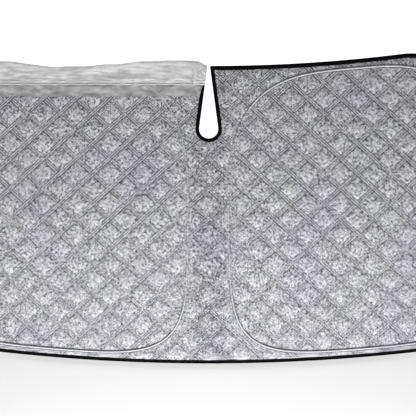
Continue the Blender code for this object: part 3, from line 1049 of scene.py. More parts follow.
@dataclass(frozen=True)
class WrapFinish:
    """Soft pale cloth: long folds with painted highlights, painted shade along the fold and the hem, a
    mottled sewn end, a stitched seam.
    """

    name: str
    light: tuple = (0.925, 0.925, 0.925)
    shade: tuple = (0.53, 0.53, 0.53)
    fold_at: float = 63 * MM
    seam_x: float = -40.7 * MM
    thread: float = 1.0 * MM
    roughness: float = 0.65
    front_light: tuple = (8 * MM, 40 * MM, -0.54, 0.24)
    hem_shade: tuple = (3.0 * MM, 5.5 * MM, 0.15, 0.0)
    hem_edge_shade: tuple = (0.6 * MM, 1.8 * MM, 0.28, 0.0)
    seam_span: tuple = (0.8 * MM, 2.2 * MM, 0.30, 0.0)
    fold_shade_depth: float = 0.16

    def _tone(self, sheet: NodeSheet, streak: Socket) -> Socket:
        """The cloth's tone, 0 in the shade and 1 in the light.

        Args:
            sheet: The material's nodes.
            streak: Long narrow streaks along the edge, painted as highlights on the folds.

        Returns:
            The tone.
        """
        across, up = sheet.axes(sheet.uv)
        broad = sheet.noise(sheet.turned(0.0, (3.0, 1.0, 1.0), sheet.uv), 34.0)
        # Painted highlights along the long folds.
        tone = sheet.swing(broad, 2.4, sheet.swing(streak, 2.3, 0.54))
        tone = sheet.math("ADD", tone, sheet.range(up, *self.front_light))
        tone = sheet.math("SUBTRACT", tone, sheet.range(up, *self.hem_shade))
        end = sheet.range(across, self.seam_x - 1.0 * MM, self.seam_x + 1.0 * MM)
        mottle = sheet.swing(sheet.noise(sheet.uv, 130.0, 2.0, 0.6), 3.2, 0.42)
        tone = sheet.math("ADD", sheet.product(tone, sheet.rest(end)), sheet.product(mottle, end))
        seam = sheet.range(sheet.off(across, self.seam_x), *self.seam_span)
        ragged = sheet.math("MULTIPLY_ADD", sheet.noise(sheet.uv, 30.0), 2.0 * MM, up)
        # Painted shade in a grey line just inside the folded edge.
        shade_line = sheet.range(ragged, self.fold_at - 6.5 * MM, self.fold_at - 2.5 * MM)
        shade_line = sheet.product(shade_line, self.fold_shade_depth)
        # Take off the seam's dark stitching, the painted shade at the fold and the painted shade along the
        # hem's lower edge.
        for line in (seam, shade_line, sheet.range(up, *self.hem_edge_shade)):
            tone = sheet.math("SUBTRACT", tone, line)
        return tone

    def build(self) -> bpy.types.Material:
        """Make the material.

        Returns:
            The material.
        """
        sheet = NodeSheet(self.name)
        streak = sheet.noise(sheet.turned(0.0, (3.5, 1.0, 1.0), sheet.uv), 120.0)
        tone = self._tone(sheet, streak)
        sheet.set("Base Color", sheet.mix(sheet.math("ADD", tone, 0.0, clamp=True), self.shade, self.light))
        sheet.set("Roughness", self.roughness)
        weave = sheet.weave(sheet.uv, self.thread)
        height = sheet.math("MULTIPLY_ADD", streak, 1.6, sheet.product(weave, 0.25))
        sheet.set("Normal", sheet.bump(height, 1.2 * MM, 0.4))
        return sheet.material


@dataclass(frozen=True)
class PlainFinish:
    """Drawn wire or spun thread: one colour with a fine streak."""

    name: str
    colour: tuple
    roughness: float
    metallic: float = 0.0

    def build(self) -> bpy.types.Material:
        """Make the material.

        Returns:
            The material.
        """
        sheet = NodeSheet(self.name)
        streak = sheet.noise(sheet.place, 900.0, 2.0, 0.6)
        dark = tuple(c * 0.75 for c in self.colour)
        sheet.set("Base Color", sheet.mix(streak, dark, self.colour))
        sheet.set("Roughness", self.roughness)
        sheet.set("Metallic", self.metallic)
        sheet.set("Normal", sheet.bump(streak, 0.1 * MM, 0.4))
        return sheet.material


@dataclass
class QuiltedFront:
    """The padded, foil-faced sheet with its diamond pillows."""

    plan: ShadePlan
    lattice: QuiltLattice
    heights: Heights
    finish: FoilFinish
    hem_inset: float = 1.5 * MM
    cell_places: tuple = (
        0.0, 0.045, 0.070, 0.115, 0.17, 0.25, 0.37, 0.5, 0.63, 0.75, 0.83, 0.885, 0.930, 0.955
    )
    pillow_reach: float = 12 * MM
    ring_clear: float = 4.5 * MM
    ring_reach: float = 9 * MM
    strip_fade: float = 5 * MM
    tape_cover: float = 1.2 * MM
    tape_fade: float = 1.8 * MM

    @property
    def origin_y(self) -> float:
        """Height of the lattice's crossing nearest the top edge."""
        return self.plan.top - self.lattice.crossing_below_top

    def _outside(self, points: np.ndarray) -> np.ndarray:
        """How far points lie outside the sheet.

        Args:
            points: Plan points.

        Returns:
            Metres from the sheet's edge, negative inside.
        """
        edge = self.hem_inset - self.plan.edge_distance(points)
        notch = self.hem_inset - self.plan.notch_distance(points)
        return np.maximum(edge, notch)

    def _pulled_in(self, points: np.ndarray) -> np.ndarray:
        """Move the points outside the sheet onto its edge.

        Args:
            points: Plan points.

        Returns:
            The same points, none of them outside.
        """
        nudge = 0.05 * MM
        for _ in range(3):
            out = self._outside(points)
            moves = (np.array([nudge, 0.0]), np.array([0.0, nudge]))
            slope = np.stack([(self._outside(points + move) - out) / nudge for move in moves], axis=-1)
            size = np.maximum(np.sum(slope * slope, axis=-1), 0.25)
            points = points - slope * (np.maximum(out, 0.0) / size)[..., None]
        return points

    def ring_distance(self, points: np.ndarray) -> np.ndarray:
        """Distance to the nearest ring line, at most a metre.

        Args:
            points: Plan points.

        Returns:
            Metres from the line.
        """
        block_size = 4000
        best = np.full(len(points), 1.0)
        for side in Side:
            line = self.plan.ring(side, 700)
            for first in range(0, len(points), block_size):
                block = points[first:first + block_size]
                gaps = np.hypot(block[:, None, 0] - line[None, :, 0], block[:, None, 1] - line[None, :, 1])
                near = best[first:first + block_size]
                best[first:first + block_size] = np.minimum(near, gaps.min(axis=1))
        return best

    def _bulge(self, points: np.ndarray) -> np.ndarray:
        """Roundness of the pillows.

        Args:
            points: Plan points.

        Returns:
            0 on a sewn band and 1 in the middle of a diamond.
        """
        lattice = self.lattice
        bulge = 1.0
        for cells in lattice.from_plan(points, self.origin_y):
            off_line = np.abs(cells - np.round(cells)) * lattice.spacing() - lattice.band_width / 2
            share = np.clip(off_line / lattice.rim_width, 0.0, 1.0)
            bulge = bulge * (1 - (1 - share) ** 2)
        return bulge

    def height_at(self, points: np.ndarray) -> np.ndarray:
        """Height of the foil's face.

        Args:
            points: Plan points.

        Returns:
            Heights in metres.
        """
        plan, heights = self.plan, self.heights
        edge = plan.edge_distance(points)
        notch = plan.notch_distance(points)
        tape = plan.tape_width(points[:, 1])
        freedom = smooth_step((edge - tape) / self.pillow_reach)
        freedom *= smooth_step((notch - plan.notch_tape) / self.pillow_reach)
        freedom *= smooth_step((self.ring_distance(points) - self.ring_clear) / self.ring_reach)
        in_strip = smooth_step((points[:, 1] - plan.strip_low) / self.strip_fade) * (points[:, 0] < 0.0)
        in_strip = in_strip * smooth_step((points[:, 0] + plan.wrap_reach) / self.strip_fade)
        z = heights.band + heights.pillow_rise * self._bulge(points) * freedom * (1 - in_strip)
        z = z - in_strip * (heights.band - heights.strip)
        under_tape = np.maximum(
            smooth_step((tape + self.tape_cover - edge) / self.tape_fade),
            smooth_step((plan.notch_tape + self.tape_cover - notch) / self.tape_fade),
        )
        return z * (1 - under_tape) + heights.pressed * under_tape

    def build(self) -> bpy.types.Object:
        """Make the sheet: a lattice-aligned face, its rim and a flat underside.

        Returns:
            The front sheet.
        """
        cells_along = self.plan.width / self.lattice.cell_width
        cells_across = self.plan.height / self.lattice.cell_height
        reach = math.ceil(cells_along * 0.62 + cells_across)
        values = np.array([i + f for i in range(-reach, reach) for f in self.cell_places])
        s, t = np.meshgrid(values, values, indexing="ij")
        points = self.lattice.to_plan(s, t, self.origin_y)
        inside = self._outside(points) < 0.0
        keep = inside[:-1, :-1] | inside[1:, :-1] | inside[:-1, 1:] | inside[1:, 1:]
        rows, columns = np.nonzero(keep)
        count = len(values)
        first = rows * count + columns
        corners = np.stack([first, first + count, first + count + 1, first + 1], axis=-1)
        used, faces = np.unique(corners, return_inverse=True)
        flat = self._pulled_in(points.reshape(-1, 2)[used])
        faces = faces.reshape(-1, 4)
        faces = faces[self._outside(flat[faces].mean(axis=1)) < 0.3 * MM]
        verts = np.column_stack([flat, self.height_at(flat)])
        piece = mesh_piece("quilted_foil_front", verts, faces.tolist(), self.finish.build())
        self._close(piece)
        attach(piece, BODY)
        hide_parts("front_quilt")
        return piece

    def _close(self, piece: bpy.types.Object) -> None:
        """Give the open face a rim and a flat underside.

        Args:
            piece: The sheet, which has its face only.
        """
        with mesh_model(piece) as model:
            bmesh.ops.remove_doubles(model, verts=model.verts, dist=0.02 * MM)
            slivers = [face for face in model.faces if face.calc_area() < 1e-10]
            bmesh.ops.delete(model, geom=slivers, context="FACES")
            unused = [vert for vert in model.verts if not vert.link_faces]
            bmesh.ops.delete(model, geom=unused, context="VERTS")
            rim = [edge for edge in model.edges if edge.is_boundary]
            for item in bmesh.ops.extrude_edge_only(model, edges=rim)["geom"]:
                if isinstance(item, bmesh.types.BMVert):
                    item.co.z = self.heights.front_bottom
            low_rim = [edge for edge in model.edges if edge.is_boundary]
            bmesh.ops.triangle_fill(model, use_beauty=True, edges=low_rim)
            bmesh.ops.recalc_face_normals(model, faces=model.faces)
        shade_round(piece, 60)


@dataclass
class RingChannels:
    """The raised foil channels that hold the ring wires."""

    plan: ShadePlan
    heights: Heights
    finish: FoilFinish
    half_width: float = 4.4 * MM
    fade: float = 80 * MM
    bead_share: float = 0.52
    bead_steps: int = 10
    bead_roundness: float = 0.9

    def section(self) -> list[tuple[float, float]]:
        """Section of a channel: a tight round bead with flat sewn sides.

        Returns:
            (distance to the right, height) pairs.
        """
        low, band = self.heights.band - 0.5 * MM, self.heights.band + 0.2 * MM
        bead = self.half_width * self.bead_share
        rise = self.heights.channel_crest - band
        points = [(-self.half_width, low), (-self.half_width, band)]
        for i in range(self.bead_steps + 1):
            angle = math.pi * i / self.bead_steps
            points.append((-bead * math.cos(angle), band + rise * math.sin(angle) ** self.bead_roundness))
        points += [(self.half_width, band), (self.half_width, low)]
        return points[::-1]

    def _press_under_wrap(self, piece: bpy.types.Object) -> None:
        """Flatten the channel under the pale wrap and on the smooth strip below it.

        Args:
            piece: The channel.
        """
        plan = self.plan
        ceiling = self.heights.wrap_inside - 0.15 * MM
        for vert in piece.data.vertices:
            pressed = float(smooth_step(np.array((vert.co.y - plan.strip_low + self.fade) / self.fade)))
            if -plan.wrap_reach - 10 * MM < vert.co.x < 0.0 and vert.co.z > ceiling:
                vert.co.z += (ceiling - vert.co.z) * pressed

    def build(self) -> list[bpy.types.Object]:
        """Make both channels.

        Returns:
            The left one and the right one.
        """
        section = self.section()
        lengths = np.hypot(*np.diff(np.array(section), axis=0).T)
        reach = float(lengths[2:-2].sum()) / 2
        bead_at = float(lengths[0] + lengths[1]) + reach
        material = replace(self.finish, bead_at=bead_at, bead_reach=reach).build()
        made = []
        for side in Side:
            name = f"{side.name.lower()}_ring_channel"
            piece = sweep(name, self.plan.ring(side), True, section, material)
            self._press_under_wrap(piece)
            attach(piece, BODY)
            made.append(piece)
        return made


@dataclass
class EdgeTapes:
    """Black tape folded over the outer edge and round the mirror notch."""

    plan: ShadePlan
    heights: Heights
    finish: ClothFinish
    thickness: float = 0.8 * MM
    puff: float = 0.35 * MM
    fold_share: float = 0.55
    fold_steps: int = 8
    face_steps: int = 6
    wrap_gap: float = 0.3 * MM
    covered_fade: float = 30 * MM
    covered_narrowing: float = 0.42

    @property
    def notch_start_y(self) -> float:
        """Height in the plan at which the notch's tape starts on the right flank."""
        return self.plan.top - self.plan.notch_tape * math.sin(self.plan.lean)

    def section(self, width: float) -> list[tuple[float, float]]:
        """Section of a tape: two legs, a round fold and a slightly puffed face.

        Args:
            width: Width of its face.

        Returns:
            (distance to the right, height) pairs.
        """
        top, low, thick = self.heights.tape_top, 0.0, self.thickness
        middle, half = (top + low) / 2, (top - low) / 2
        fold = half * self.fold_share
        points = [(width, low)]
        for i in range(self.fold_steps + 1):
            angle = -math.pi / 2 - math.pi * i / self.fold_steps
            points.append((fold * (1 + math.cos(angle)), middle + half * math.sin(angle)))
        for i in range(1, self.face_steps):
            share = i / self.face_steps
            points.append((fold + (width - fold) * share, top + self.puff * math.sin(math.pi * share)))
        bevel = thick * 1.5
        points += [(width, top), (width, top - thick), (bevel, top - thick), (thick, top - bevel)]
        points += [(thick, low + bevel), (bevel, low + thick), (width, low + thick)]
        return points

    def outer_path(self) -> np.ndarray:
        """Outer edge from the notch's right side, clockwise, to the wrap's left end.

        Returns:
            Plan points, one row each.
        """
        plan = self.plan
        start_x = float(plan.notch_half_width(plan.top)) + plan.notch_tape / math.cos(plan.lean) + 0.4 * MM
        end_x = -plan.wrap_reach - self.wrap_gap
        outline = plan.outline()
        after_start = np.nonzero(outline[:, 0] > start_x)[0][0]
        last = np.nonzero((outline[:, 0] < end_x) & (outline[:, 1] > 0.0))[0][-1]
        share = (end_x - outline[last, 0]) / (outline[last + 1, 0] - outline[last, 0])
        end = outline[last:last + 1] * (1 - share) + outline[last + 1:last + 2] * share
        return np.vstack([[[start_x, plan.top]], outline[after_start:last + 1], end])

    def build(self) -> list[bpy.types.Object]:
        """Make both tapes.

        Returns:
            The edge's tape and the notch's tape.
        """
        plan = self.plan
        material = self.finish.build()
        around = self.outer_path()
        widths = plan.tape_width(around[:, 1]) / plan.edge_tape
        outer = sweep("edge_tape", around, False, self.section(plan.edge_tape), material, widths=widths)
        left_y = plan.hem_y - 1.6 * MM
        path = plan.notch_edge(self.notch_start_y, left_y)
        covered = smooth_step((path[:, 1] - left_y + self.covered_fade) / self.covered_fade)
        widths = 1.0 - self.covered_narrowing * covered * (path[:, 0] < 0.0)
        section = self.section(plan.notch_tape)
        notch = sweep("notch_tape", path, False, section, material, side=-1, widths=widths)
        for piece, node in ((outer, "outer_binding"), (notch, "notch_binding")):
            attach(piece, BODY)
            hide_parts(node)
        return [outer, notch]


@dataclass
class BackLining:
    """Plain woven lining on the back."""

    plan: ShadePlan
    heights: Heights
    finish: ClothFinish
    thickness: float = 0.6 * MM
    inset: float = 1.3 * MM

    def _loop(self, outline: np.ndarray) -> np.ndarray:
        """Cut the notch into the lining's edge.

        Args:
            outline: The lining's edge without the notch.

        Returns:
            The edge with the notch, closed.
        """
        notch = self.plan.notch_edge(self.plan.top, self.plan.top)
        notch = notch - side_normals(notch, False) * self.inset
        mouth, top_y = abs(notch[0, 0]), outline[0, 1]
        around = outline[(np.abs(outline[:, 0]) > mouth + 1 * MM) | (outline[:, 1] < 0.0)]
        notch = notch[notch[:, 1] < top_y]
        return np.vstack([[[mouth, top_y]], around, [[-mouth, top_y]], notch[::-1]])

    def build(self) -> bpy.types.Object:
        """Make the lining as a thin closed sheet with the notch cut in.

        Returns:
            The lining.
        """
        outline = self.plan.outline()
        outline = outline + side_normals(outline, True) * self.inset
        loop = self._loop(outline)
        count = len(loop)
        low, high = self.heights.back_cloth, self.heights.back_cloth + self.thickness
        verts = np.vstack([np.column_stack([loop, np.full(count, z)]) for z in (low, high)])
        faces = [tuple(range(count)), tuple(range(2 * count - 1, count - 1, -1))]
        faces += [(i, (i + 1) % count, (i + 1) % count + count, i + count) for i in range(count)]
        piece = mesh_piece("back_lining", verts, faces, self.finish.build())
        with mesh_model(piece) as model:
            bmesh.ops.remove_doubles(model, verts=model.verts, dist=0.001 * MM)
            bmesh.ops.recalc_face_normals(model, faces=model.faces)
        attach(piece, BODY)
        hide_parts("back_cloth")
        return piece


@dataclass
class TopWrap:
    """Pale cloth folded over the left part of the top edge."""

    plan: ShadePlan
    heights: Heights
    finish: WrapFinish
    thickness: float = 0.9 * MM
    stations: int = 380
    front_rows: int = 34
    fold_rows: int = 8
    back_rows: int = 8
    puff: float = 2.6 * MM
    sewn_end: float = 0.033
    fold_allowance: float = 8 * MM

    @property
    def base(self) -> float:
        """Level of the wrap's face where it is sewn down."""
        return self.heights.wrap_inside + self.thickness

    def edge_y(self, x: float) -> float:
        """Height in the plan of the folded edge.

        Args:
            x: Place along the shade.

        Returns:
            The edge's height there.
        """
        outline = self.plan.outline()
        top_left = outline[(outline[:, 0] <= 0.0) & (outline[:, 1] > 0.0)]
        order = np.argsort(top_left[:, 0])
        return float(np.interp(x, top_left[order, 0], top_left[order, 1]))

    def level(self, x: float, y: float, edge_y: float) -> float:
        """Level of the front face: pressed at the hem and the sewn end, puffed between, round at the fold.

        Args:
            x: Place along the shade.
            y: Height in the plan.
            edge_y: Height in the plan of the folded edge at x.

        Returns:
            The level above the floor.
        """
        end_x = -float(self.plan.notch_half_width(min(y, self.plan.top)))
        above = float(smooth_step(np.array((y - self.plan.hem_y - 4 * MM) / (12 * MM))))
        below = min(max((edge_y - self.base / 2 - y) / (11 * MM), 0.0), 1.0)
        rounding = math.sqrt(1 - (1 - below) ** 2)
        seam = abs(x + self.sewn_end + 8 * MM) / (5 * MM)
        sewn = 1 - 0.85 * math.exp(-seam * seam)
        near_end = float(smooth_step(np.array((x + self.sewn_end + 7 * MM) / (3 * MM))))
        pinch = 1 - 0.85 * float(smooth_step(np.array((x - end_x + 5 * MM) / (5 * MM))))
        free = above * rounding
        puff = self.puff * free * sewn * (1 - 0.45 * near_end)
        return self.base + (puff + self._wrinkle(x, y, near_end) * (0.25 + 0.75 * free) * sewn) * pinch

    def _wrinkle(self, x: float, y: float, near_end: float) -> float:
        """Height of the wrinkles: long soft folds along the edge, mottled at the sewn end.

        Args:
            x: Place along the shade.
            y: Height in the plan.
            near_end: 1 at the sewn end, 0 elsewhere.

        Returns:
            The height, about 0 on average.
        """
        long_fold = noise.noise(Vector((x * 7, y * 62, 1.7))) * 1.7 * MM
        short_fold = noise.noise(Vector((x * 30 + y * 40, y * 150, 7.1))) * 0.9 * MM
        mottle = noise.noise(Vector((x * 150, y * 150, 3.3))) * 1.5 * MM
        return (long_fold + short_fold) * (1 - near_end) + mottle * near_end

    def _rows(self, edge_y: float) -> list[tuple[float, float, bool]]:
        """Rows from the front hem over the fold to the back hem.

        Args:
            edge_y: Height in the plan of the folded edge.

        Returns:
            Plan height, level and whether it is in front, for each row.
        """
        low_y, fold = self.plan.hem_y, self.base / 2
        reach = edge_y - fold - low_y
        rows = [(low_y + reach * i / self.front_rows, 0.0, True) for i in range(self.front_rows + 1)]
        for i in range(1, self.fold_rows + 1):
            angle = math.pi * i / (self.fold_rows + 1)
            rows.append((edge_y - fold + fold * math.sin(angle), fold + fold * math.cos(angle), False))
        for i in range(self.back_rows + 1):
            rows.append((edge_y - fold + (3 * MM - reach) * i / self.back_rows, 0.0, False))
        return rows

    def build(self) -> bpy.types.Object:
        """Make the wrap as one folded sheet with its thickness.

        Returns:
            The wrap.
        """
        plan = self.plan
        points = []
        for i in range(self.stations + 1):
            share = i / self.stations
            edge_y = self.edge_y(-plan.wrap_reach + (plan.wrap_reach - 5 * MM) * share)
            for y, level, in_front in self._rows(edge_y):
                end_x = -float(plan.notch_half_width(min(y, plan.top))) - 0.2 * MM
                x = -plan.wrap_reach + (end_x + plan.wrap_reach) * share
                points.append((x, y, self.level(x, y, edge_y) if in_front else level))
        grid = np.array(points).reshape(self.stations + 1, -1, 3)
        rows = grid.shape[1]
        faces = []
        for i in range(self.stations):
            for k in range(rows - 1):
                faces.append((i * rows + k, (i + 1) * rows + k, (i + 1) * rows + k + 1, i * rows + k + 1))
        piece = mesh_piece("pale_edge_wrap", points, faces, self.finish.build())
        self._map(piece, grid)
        self._thicken(piece)
        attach(piece, BODY)
        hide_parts("top_edge_wrap")
        return piece

    def _map(self, piece: bpy.types.Object, grid: np.ndarray) -> None:
        """Map the cloth: metres along the edge, and metres across the cloth with its folded edge at fold_at.

        Args:
            piece: The wrap.
            grid: Its points, station by station.
        """
        x, y = grid[:, :, 0], grid[:, :, 1]
        below_edge = y.max(axis=1, keepdims=True) - y
        front = np.arange(grid.shape[1])[None, :] <= self.front_rows
        near = self.finish.fold_at - below_edge
        share = np.clip(below_edge / (20 * MM), 0.0, 1.0)
        on_front = near * (1 - share) + (y - self.plan.hem_y) * share
        along_cloth = np.where(front, on_front, 2 * self.finish.fold_at - near)
        values = np.stack([x, along_cloth], axis=-1).reshape(-1, 2)
        layer = piece.data.uv_layers.new(name="cloth")
        for loop, slot in zip(piece.data.loops, layer.data):
            slot.uv = values[loop.vertex_index]

    def _thicken(self, piece: bpy.types.Object) -> None:
        """Give the cloth its thickness on the inner side.

        Args:
            piece: The wrap.
        """
        solidify = piece.modifiers.new("cloth", "SOLIDIFY")
        solidify.thickness = self.thickness
        solidify.offset = -1.0
        solid, old = made_real(piece), piece.data
        piece.modifiers.clear()
        piece.data = solid
        bpy.data.meshes.remove(old)
        piece.data.shade_smooth()


@dataclass
class StitchRow:
    """Threads sewn along a path, laid by a node tree."""

    name: str
    path: np.ndarray
    closed: bool
    level: float | np.ndarray
    pitch: float
    length: float
    thickness: float
    material: bpy.types.Material
    slot: str

    def _tree(self) -> bpy.types.NodeTree:
        """Build the node tree: even points on the path, a thread at each, made real.

        Returns:
            The tree.
        """
        tree = bpy.data.node_groups.new("stitch_row", "GeometryNodeTree")
        for label, flow, kind in (
            ("Path", "INPUT", "NodeSocketGeometry"),
            ("Pitch", "INPUT", "NodeSocketFloat"),
            ("Length", "INPUT", "NodeSocketFloat"),
            ("Thickness", "INPUT", "NodeSocketFloat"),
            ("Thread", "INPUT", "NodeSocketMaterial"),
            ("Stitches", "OUTPUT", "NodeSocketGeometry"),
        ):
            tree.interface.new_socket(label, in_out=flow, socket_type=kind)
        start, end, even, tangent, aim, thread, size, place, real, paint = (
            tree.nodes.new(kind) for kind in (
                "NodeGroupInput", "NodeGroupOutput", "GeometryNodeResampleCurve", "GeometryNodeInputTangent",
                "FunctionNodeAlignRotationToVector", "GeometryNodeMeshUVSphere", "ShaderNodeCombineXYZ",
                "GeometryNodeInstanceOnPoints", "GeometryNodeRealizeInstances", "GeometryNodeSetMaterial",
            )
        )
        even.mode = "LENGTH"
        aim.axis = "X"
        for label, value in (("Segments", 6), ("Rings", 5), ("Radius", 0.5)):
            thread.inputs[label].default_value = value
        for source, target in (
            (start.outputs["Path"], even.inputs["Curve"]),
            (start.outputs["Pitch"], even.inputs["Length"]),
            (tangent.outputs[0], aim.inputs["Vector"]),
            (start.outputs["Length"], size.inputs["X"]),
            (start.outputs["Thickness"], size.inputs["Y"]),
            (start.outputs["Thickness"], size.inputs["Z"]),
            (even.outputs[0], place.inputs["Points"]),
            (thread.outputs["Mesh"], place.inputs["Instance"]),
            (aim.outputs[0], place.inputs["Rotation"]),
            (size.outputs[0], place.inputs["Scale"]),
            (place.outputs[0], real.inputs[0]),
            (real.outputs[0], paint.inputs["Geometry"]),
            (start.outputs["Thread"], paint.inputs["Material"]),
            (paint.outputs[0], end.inputs[0]),
        ):
            tree.links.new(source, target)
        return tree

    def _carrier(self) -> bpy.types.Object:
        """Lay a curve along the path, which the tree sews on.

        Returns:
            The curve.
        """
        curve = bpy.data.curves.new(self.name + "_path", "CURVE")
        curve.dimensions = "3D"
        spline = curve.splines.new("POLY")
        spline.points.add(len(self.path) - 1)
        levels = np.broadcast_to(self.level, len(self.path))
        for knot, (x, y), z in zip(spline.points, self.path, levels):
            knot.co = (x, y, z, 1.0)
        spline.use_cyclic_u = self.closed
        carrier = bpy.data.objects.new(self.name + "_path", curve)
        bpy.context.scene.collection.objects.link(carrier)
        return carrier

    def build(self) -> bpy.types.Object:
        """Lay the row and keep it as a plain mesh.

        Returns:
            The row.
        """
        carrier = self._carrier()
        modifier = carrier.modifiers.new("stitches", "NODES")
        modifier.node_group = self._tree()
        values = {"Pitch": self.pitch, "Length": self.length, "Thickness": self.thickness}
        values["Thread"] = self.material
        for item in modifier.node_group.interface.items_tree:
            if item.in_out == "INPUT" and item.name in values:
                modifier[item.identifier] = values[item.name]
        carrier.update_tag()
        bpy.context.view_layer.update()
        mesh = made_real(carrier)
        bpy.data.objects.remove(carrier)
        piece = bpy.data.objects.new(self.name, mesh)
        bpy.context.scene.collection.objects.link(piece)
        piece.data.shade_smooth()
        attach(piece, BODY)
        return piece


@dataclass
class Sewing:
    """All the visible stitch rows. A stitch is its pitch, its length and its thickness."""

    plan: ShadePlan
    heights: Heights
    tapes: EdgeTapes
    channels: RingChannels
    wrap: TopWrap
    tape_stitch: tuple = (4.2 * MM, 3.0 * MM, 0.5 * MM)
    ring_stitch: tuple = (5.0 * MM, 3.4 * MM, 0.5 * MM)
    wrap_stitches: tuple = (
        ("wrap_hem_stitches", 2.4 * MM, (31.0 * MM, 21.0 * MM, 2.0 * MM)),
        ("wrap_upper_stitches", 10.5 * MM, (58.0 * MM, 24.0 * MM, 2.0 * MM)),
    )
    dark: PlainFinish = PlainFinish("dark_thread", (0.010, 0.010, 0.011), 0.8)
    grey: PlainFinish = PlainFinish("grey_thread", (0.22, 0.22, 0.23), 0.5)
    white: PlainFinish = PlainFinish("white_thread", (0.80, 0.80, 0.79), 0.5)

    def _tape_rows(self) -> list[StitchRow]:
        """Sew the tapes.

        Returns:
            One row on each tape.
        """
        plan, thread = self.plan, self.dark.build()
        level = self.heights.tape_top + 0.25 * MM
        outer = self.tapes.outer_path()
        outer = outer + side_normals(outer, False) * plan.tape_width(outer[:, 1:]) * 0.72
        notch = plan.notch_edge(self.tapes.notch_start_y - 2 * MM, plan.hem_y - 3 * MM)
        notch = notch - side_normals(notch, False) * plan.notch_tape * 0.75
        paths = (("edge_tape_stitches", outer), ("notch_tape_stitches", notch))
        sewn = (False, level, *self.tape_stitch, thread, "black_tape")
        return [StitchRow(name, path, *sewn) for name, path in paths]

    def _ring_rows(self) -> list[StitchRow]:
        """Sew the ring channels down.

        Returns:
            One row on each side of each channel.
        """
        thread = self.grey.build()
        level = self.heights.band + 0.3 * MM
        rows = []
        for side in Side:
            line = self.plan.ring(side)
            normals = side_normals(line, True)
            for label, offset in (("outer", -1.0), ("inner", 1.0)):
                path = line + normals * offset * self.channels.half_width * 0.80
                name = f"{side.name.lower()}_ring_{label}_stitches"
                rows.append(StitchRow(name, path, True, level, *self.ring_stitch, thread, "quilted_foil"))
        return rows

    def _wrap_rows(self) -> list[StitchRow]:
        """Sew the wrap's hem.

        Returns:
            The long stitches along the hem and above it.
        """
        plan, thread = self.plan, self.white.build()
        rows = []
        for name, rise, stitch in self.wrap_stitches:
            y = plan.hem_y + rise
            xs = np.linspace(-plan.wrap_reach + 3 * MM, -float(plan.notch_half_width(y)) - 8 * MM, 400)
            levels = np.array([self.wrap.level(x, y, self.wrap.edge_y(x)) + 0.1 * MM for x in xs])
            path = np.stack([xs, np.full(len(xs), y)], axis=-1)
            rows.append(StitchRow(name, path, False, levels, *stitch, thread, "pale_cloth"))
        return rows

    def build(self) -> list[bpy.types.Object]:
        """Sew the tapes, the ring channels and the wrap's hem.

        Returns:
            The rows.
        """
        return [row.build() for row in self._tape_rows() + self._ring_rows() + self._wrap_rows()]


def seen_directly(tree: bpy.types.NodeTree) -> Socket:
    """Find the rays from the camera, from glossy and from clear surfaces.

    Args:
        tree: The tree that gets the nodes.

    Returns:
        1 for these rays, 0 for the rest.
    """
    path = tree.nodes.new("ShaderNodeLightPath")
    total = path.outputs["Is Camera Ray"]
    for label in ("Is Glossy Ray", "Is Transmission Ray"):
        node = tree.nodes.new("ShaderNodeMath")
        node.operation = "MAXIMUM"
        tree.links.new(total, node.inputs[0])
        tree.links.new(path.outputs[label], node.inputs[1])
        total = node.outputs[0]
    return total


@dataclass(frozen=True)
class Lamp:
    """An area lamp that looks at a target."""

    name: str
    place: tuple
    target: tuple
    size: tuple
    energy: float

    def build(self, receivers: str = "", piece: bpy.types.Object | None = None) -> None:
        """Make the lamp.

        Args:
            receivers: Name of the collection that it lights alone.
            piece: The piece in that collection, or none to light everything.
        """
        data = bpy.data.lights.new(self.name, "AREA")
        data.energy = self.energy
        data.shape = "RECTANGLE"
        data.size, data.size_y = self.size
        lamp = bpy.data.objects.new(self.name, data)
        lamp.location = self.place
        lamp.rotation_euler = (Vector(self.target) - Vector(self.place)).to_track_quat("-Z", "Y").to_euler()
        bpy.context.scene.collection.objects.link(lamp)
        if piece:
            collection = bpy.data.collections.new(receivers)
            collection.objects.link(piece)
            lamp.light_linking.receiver_collection = collection


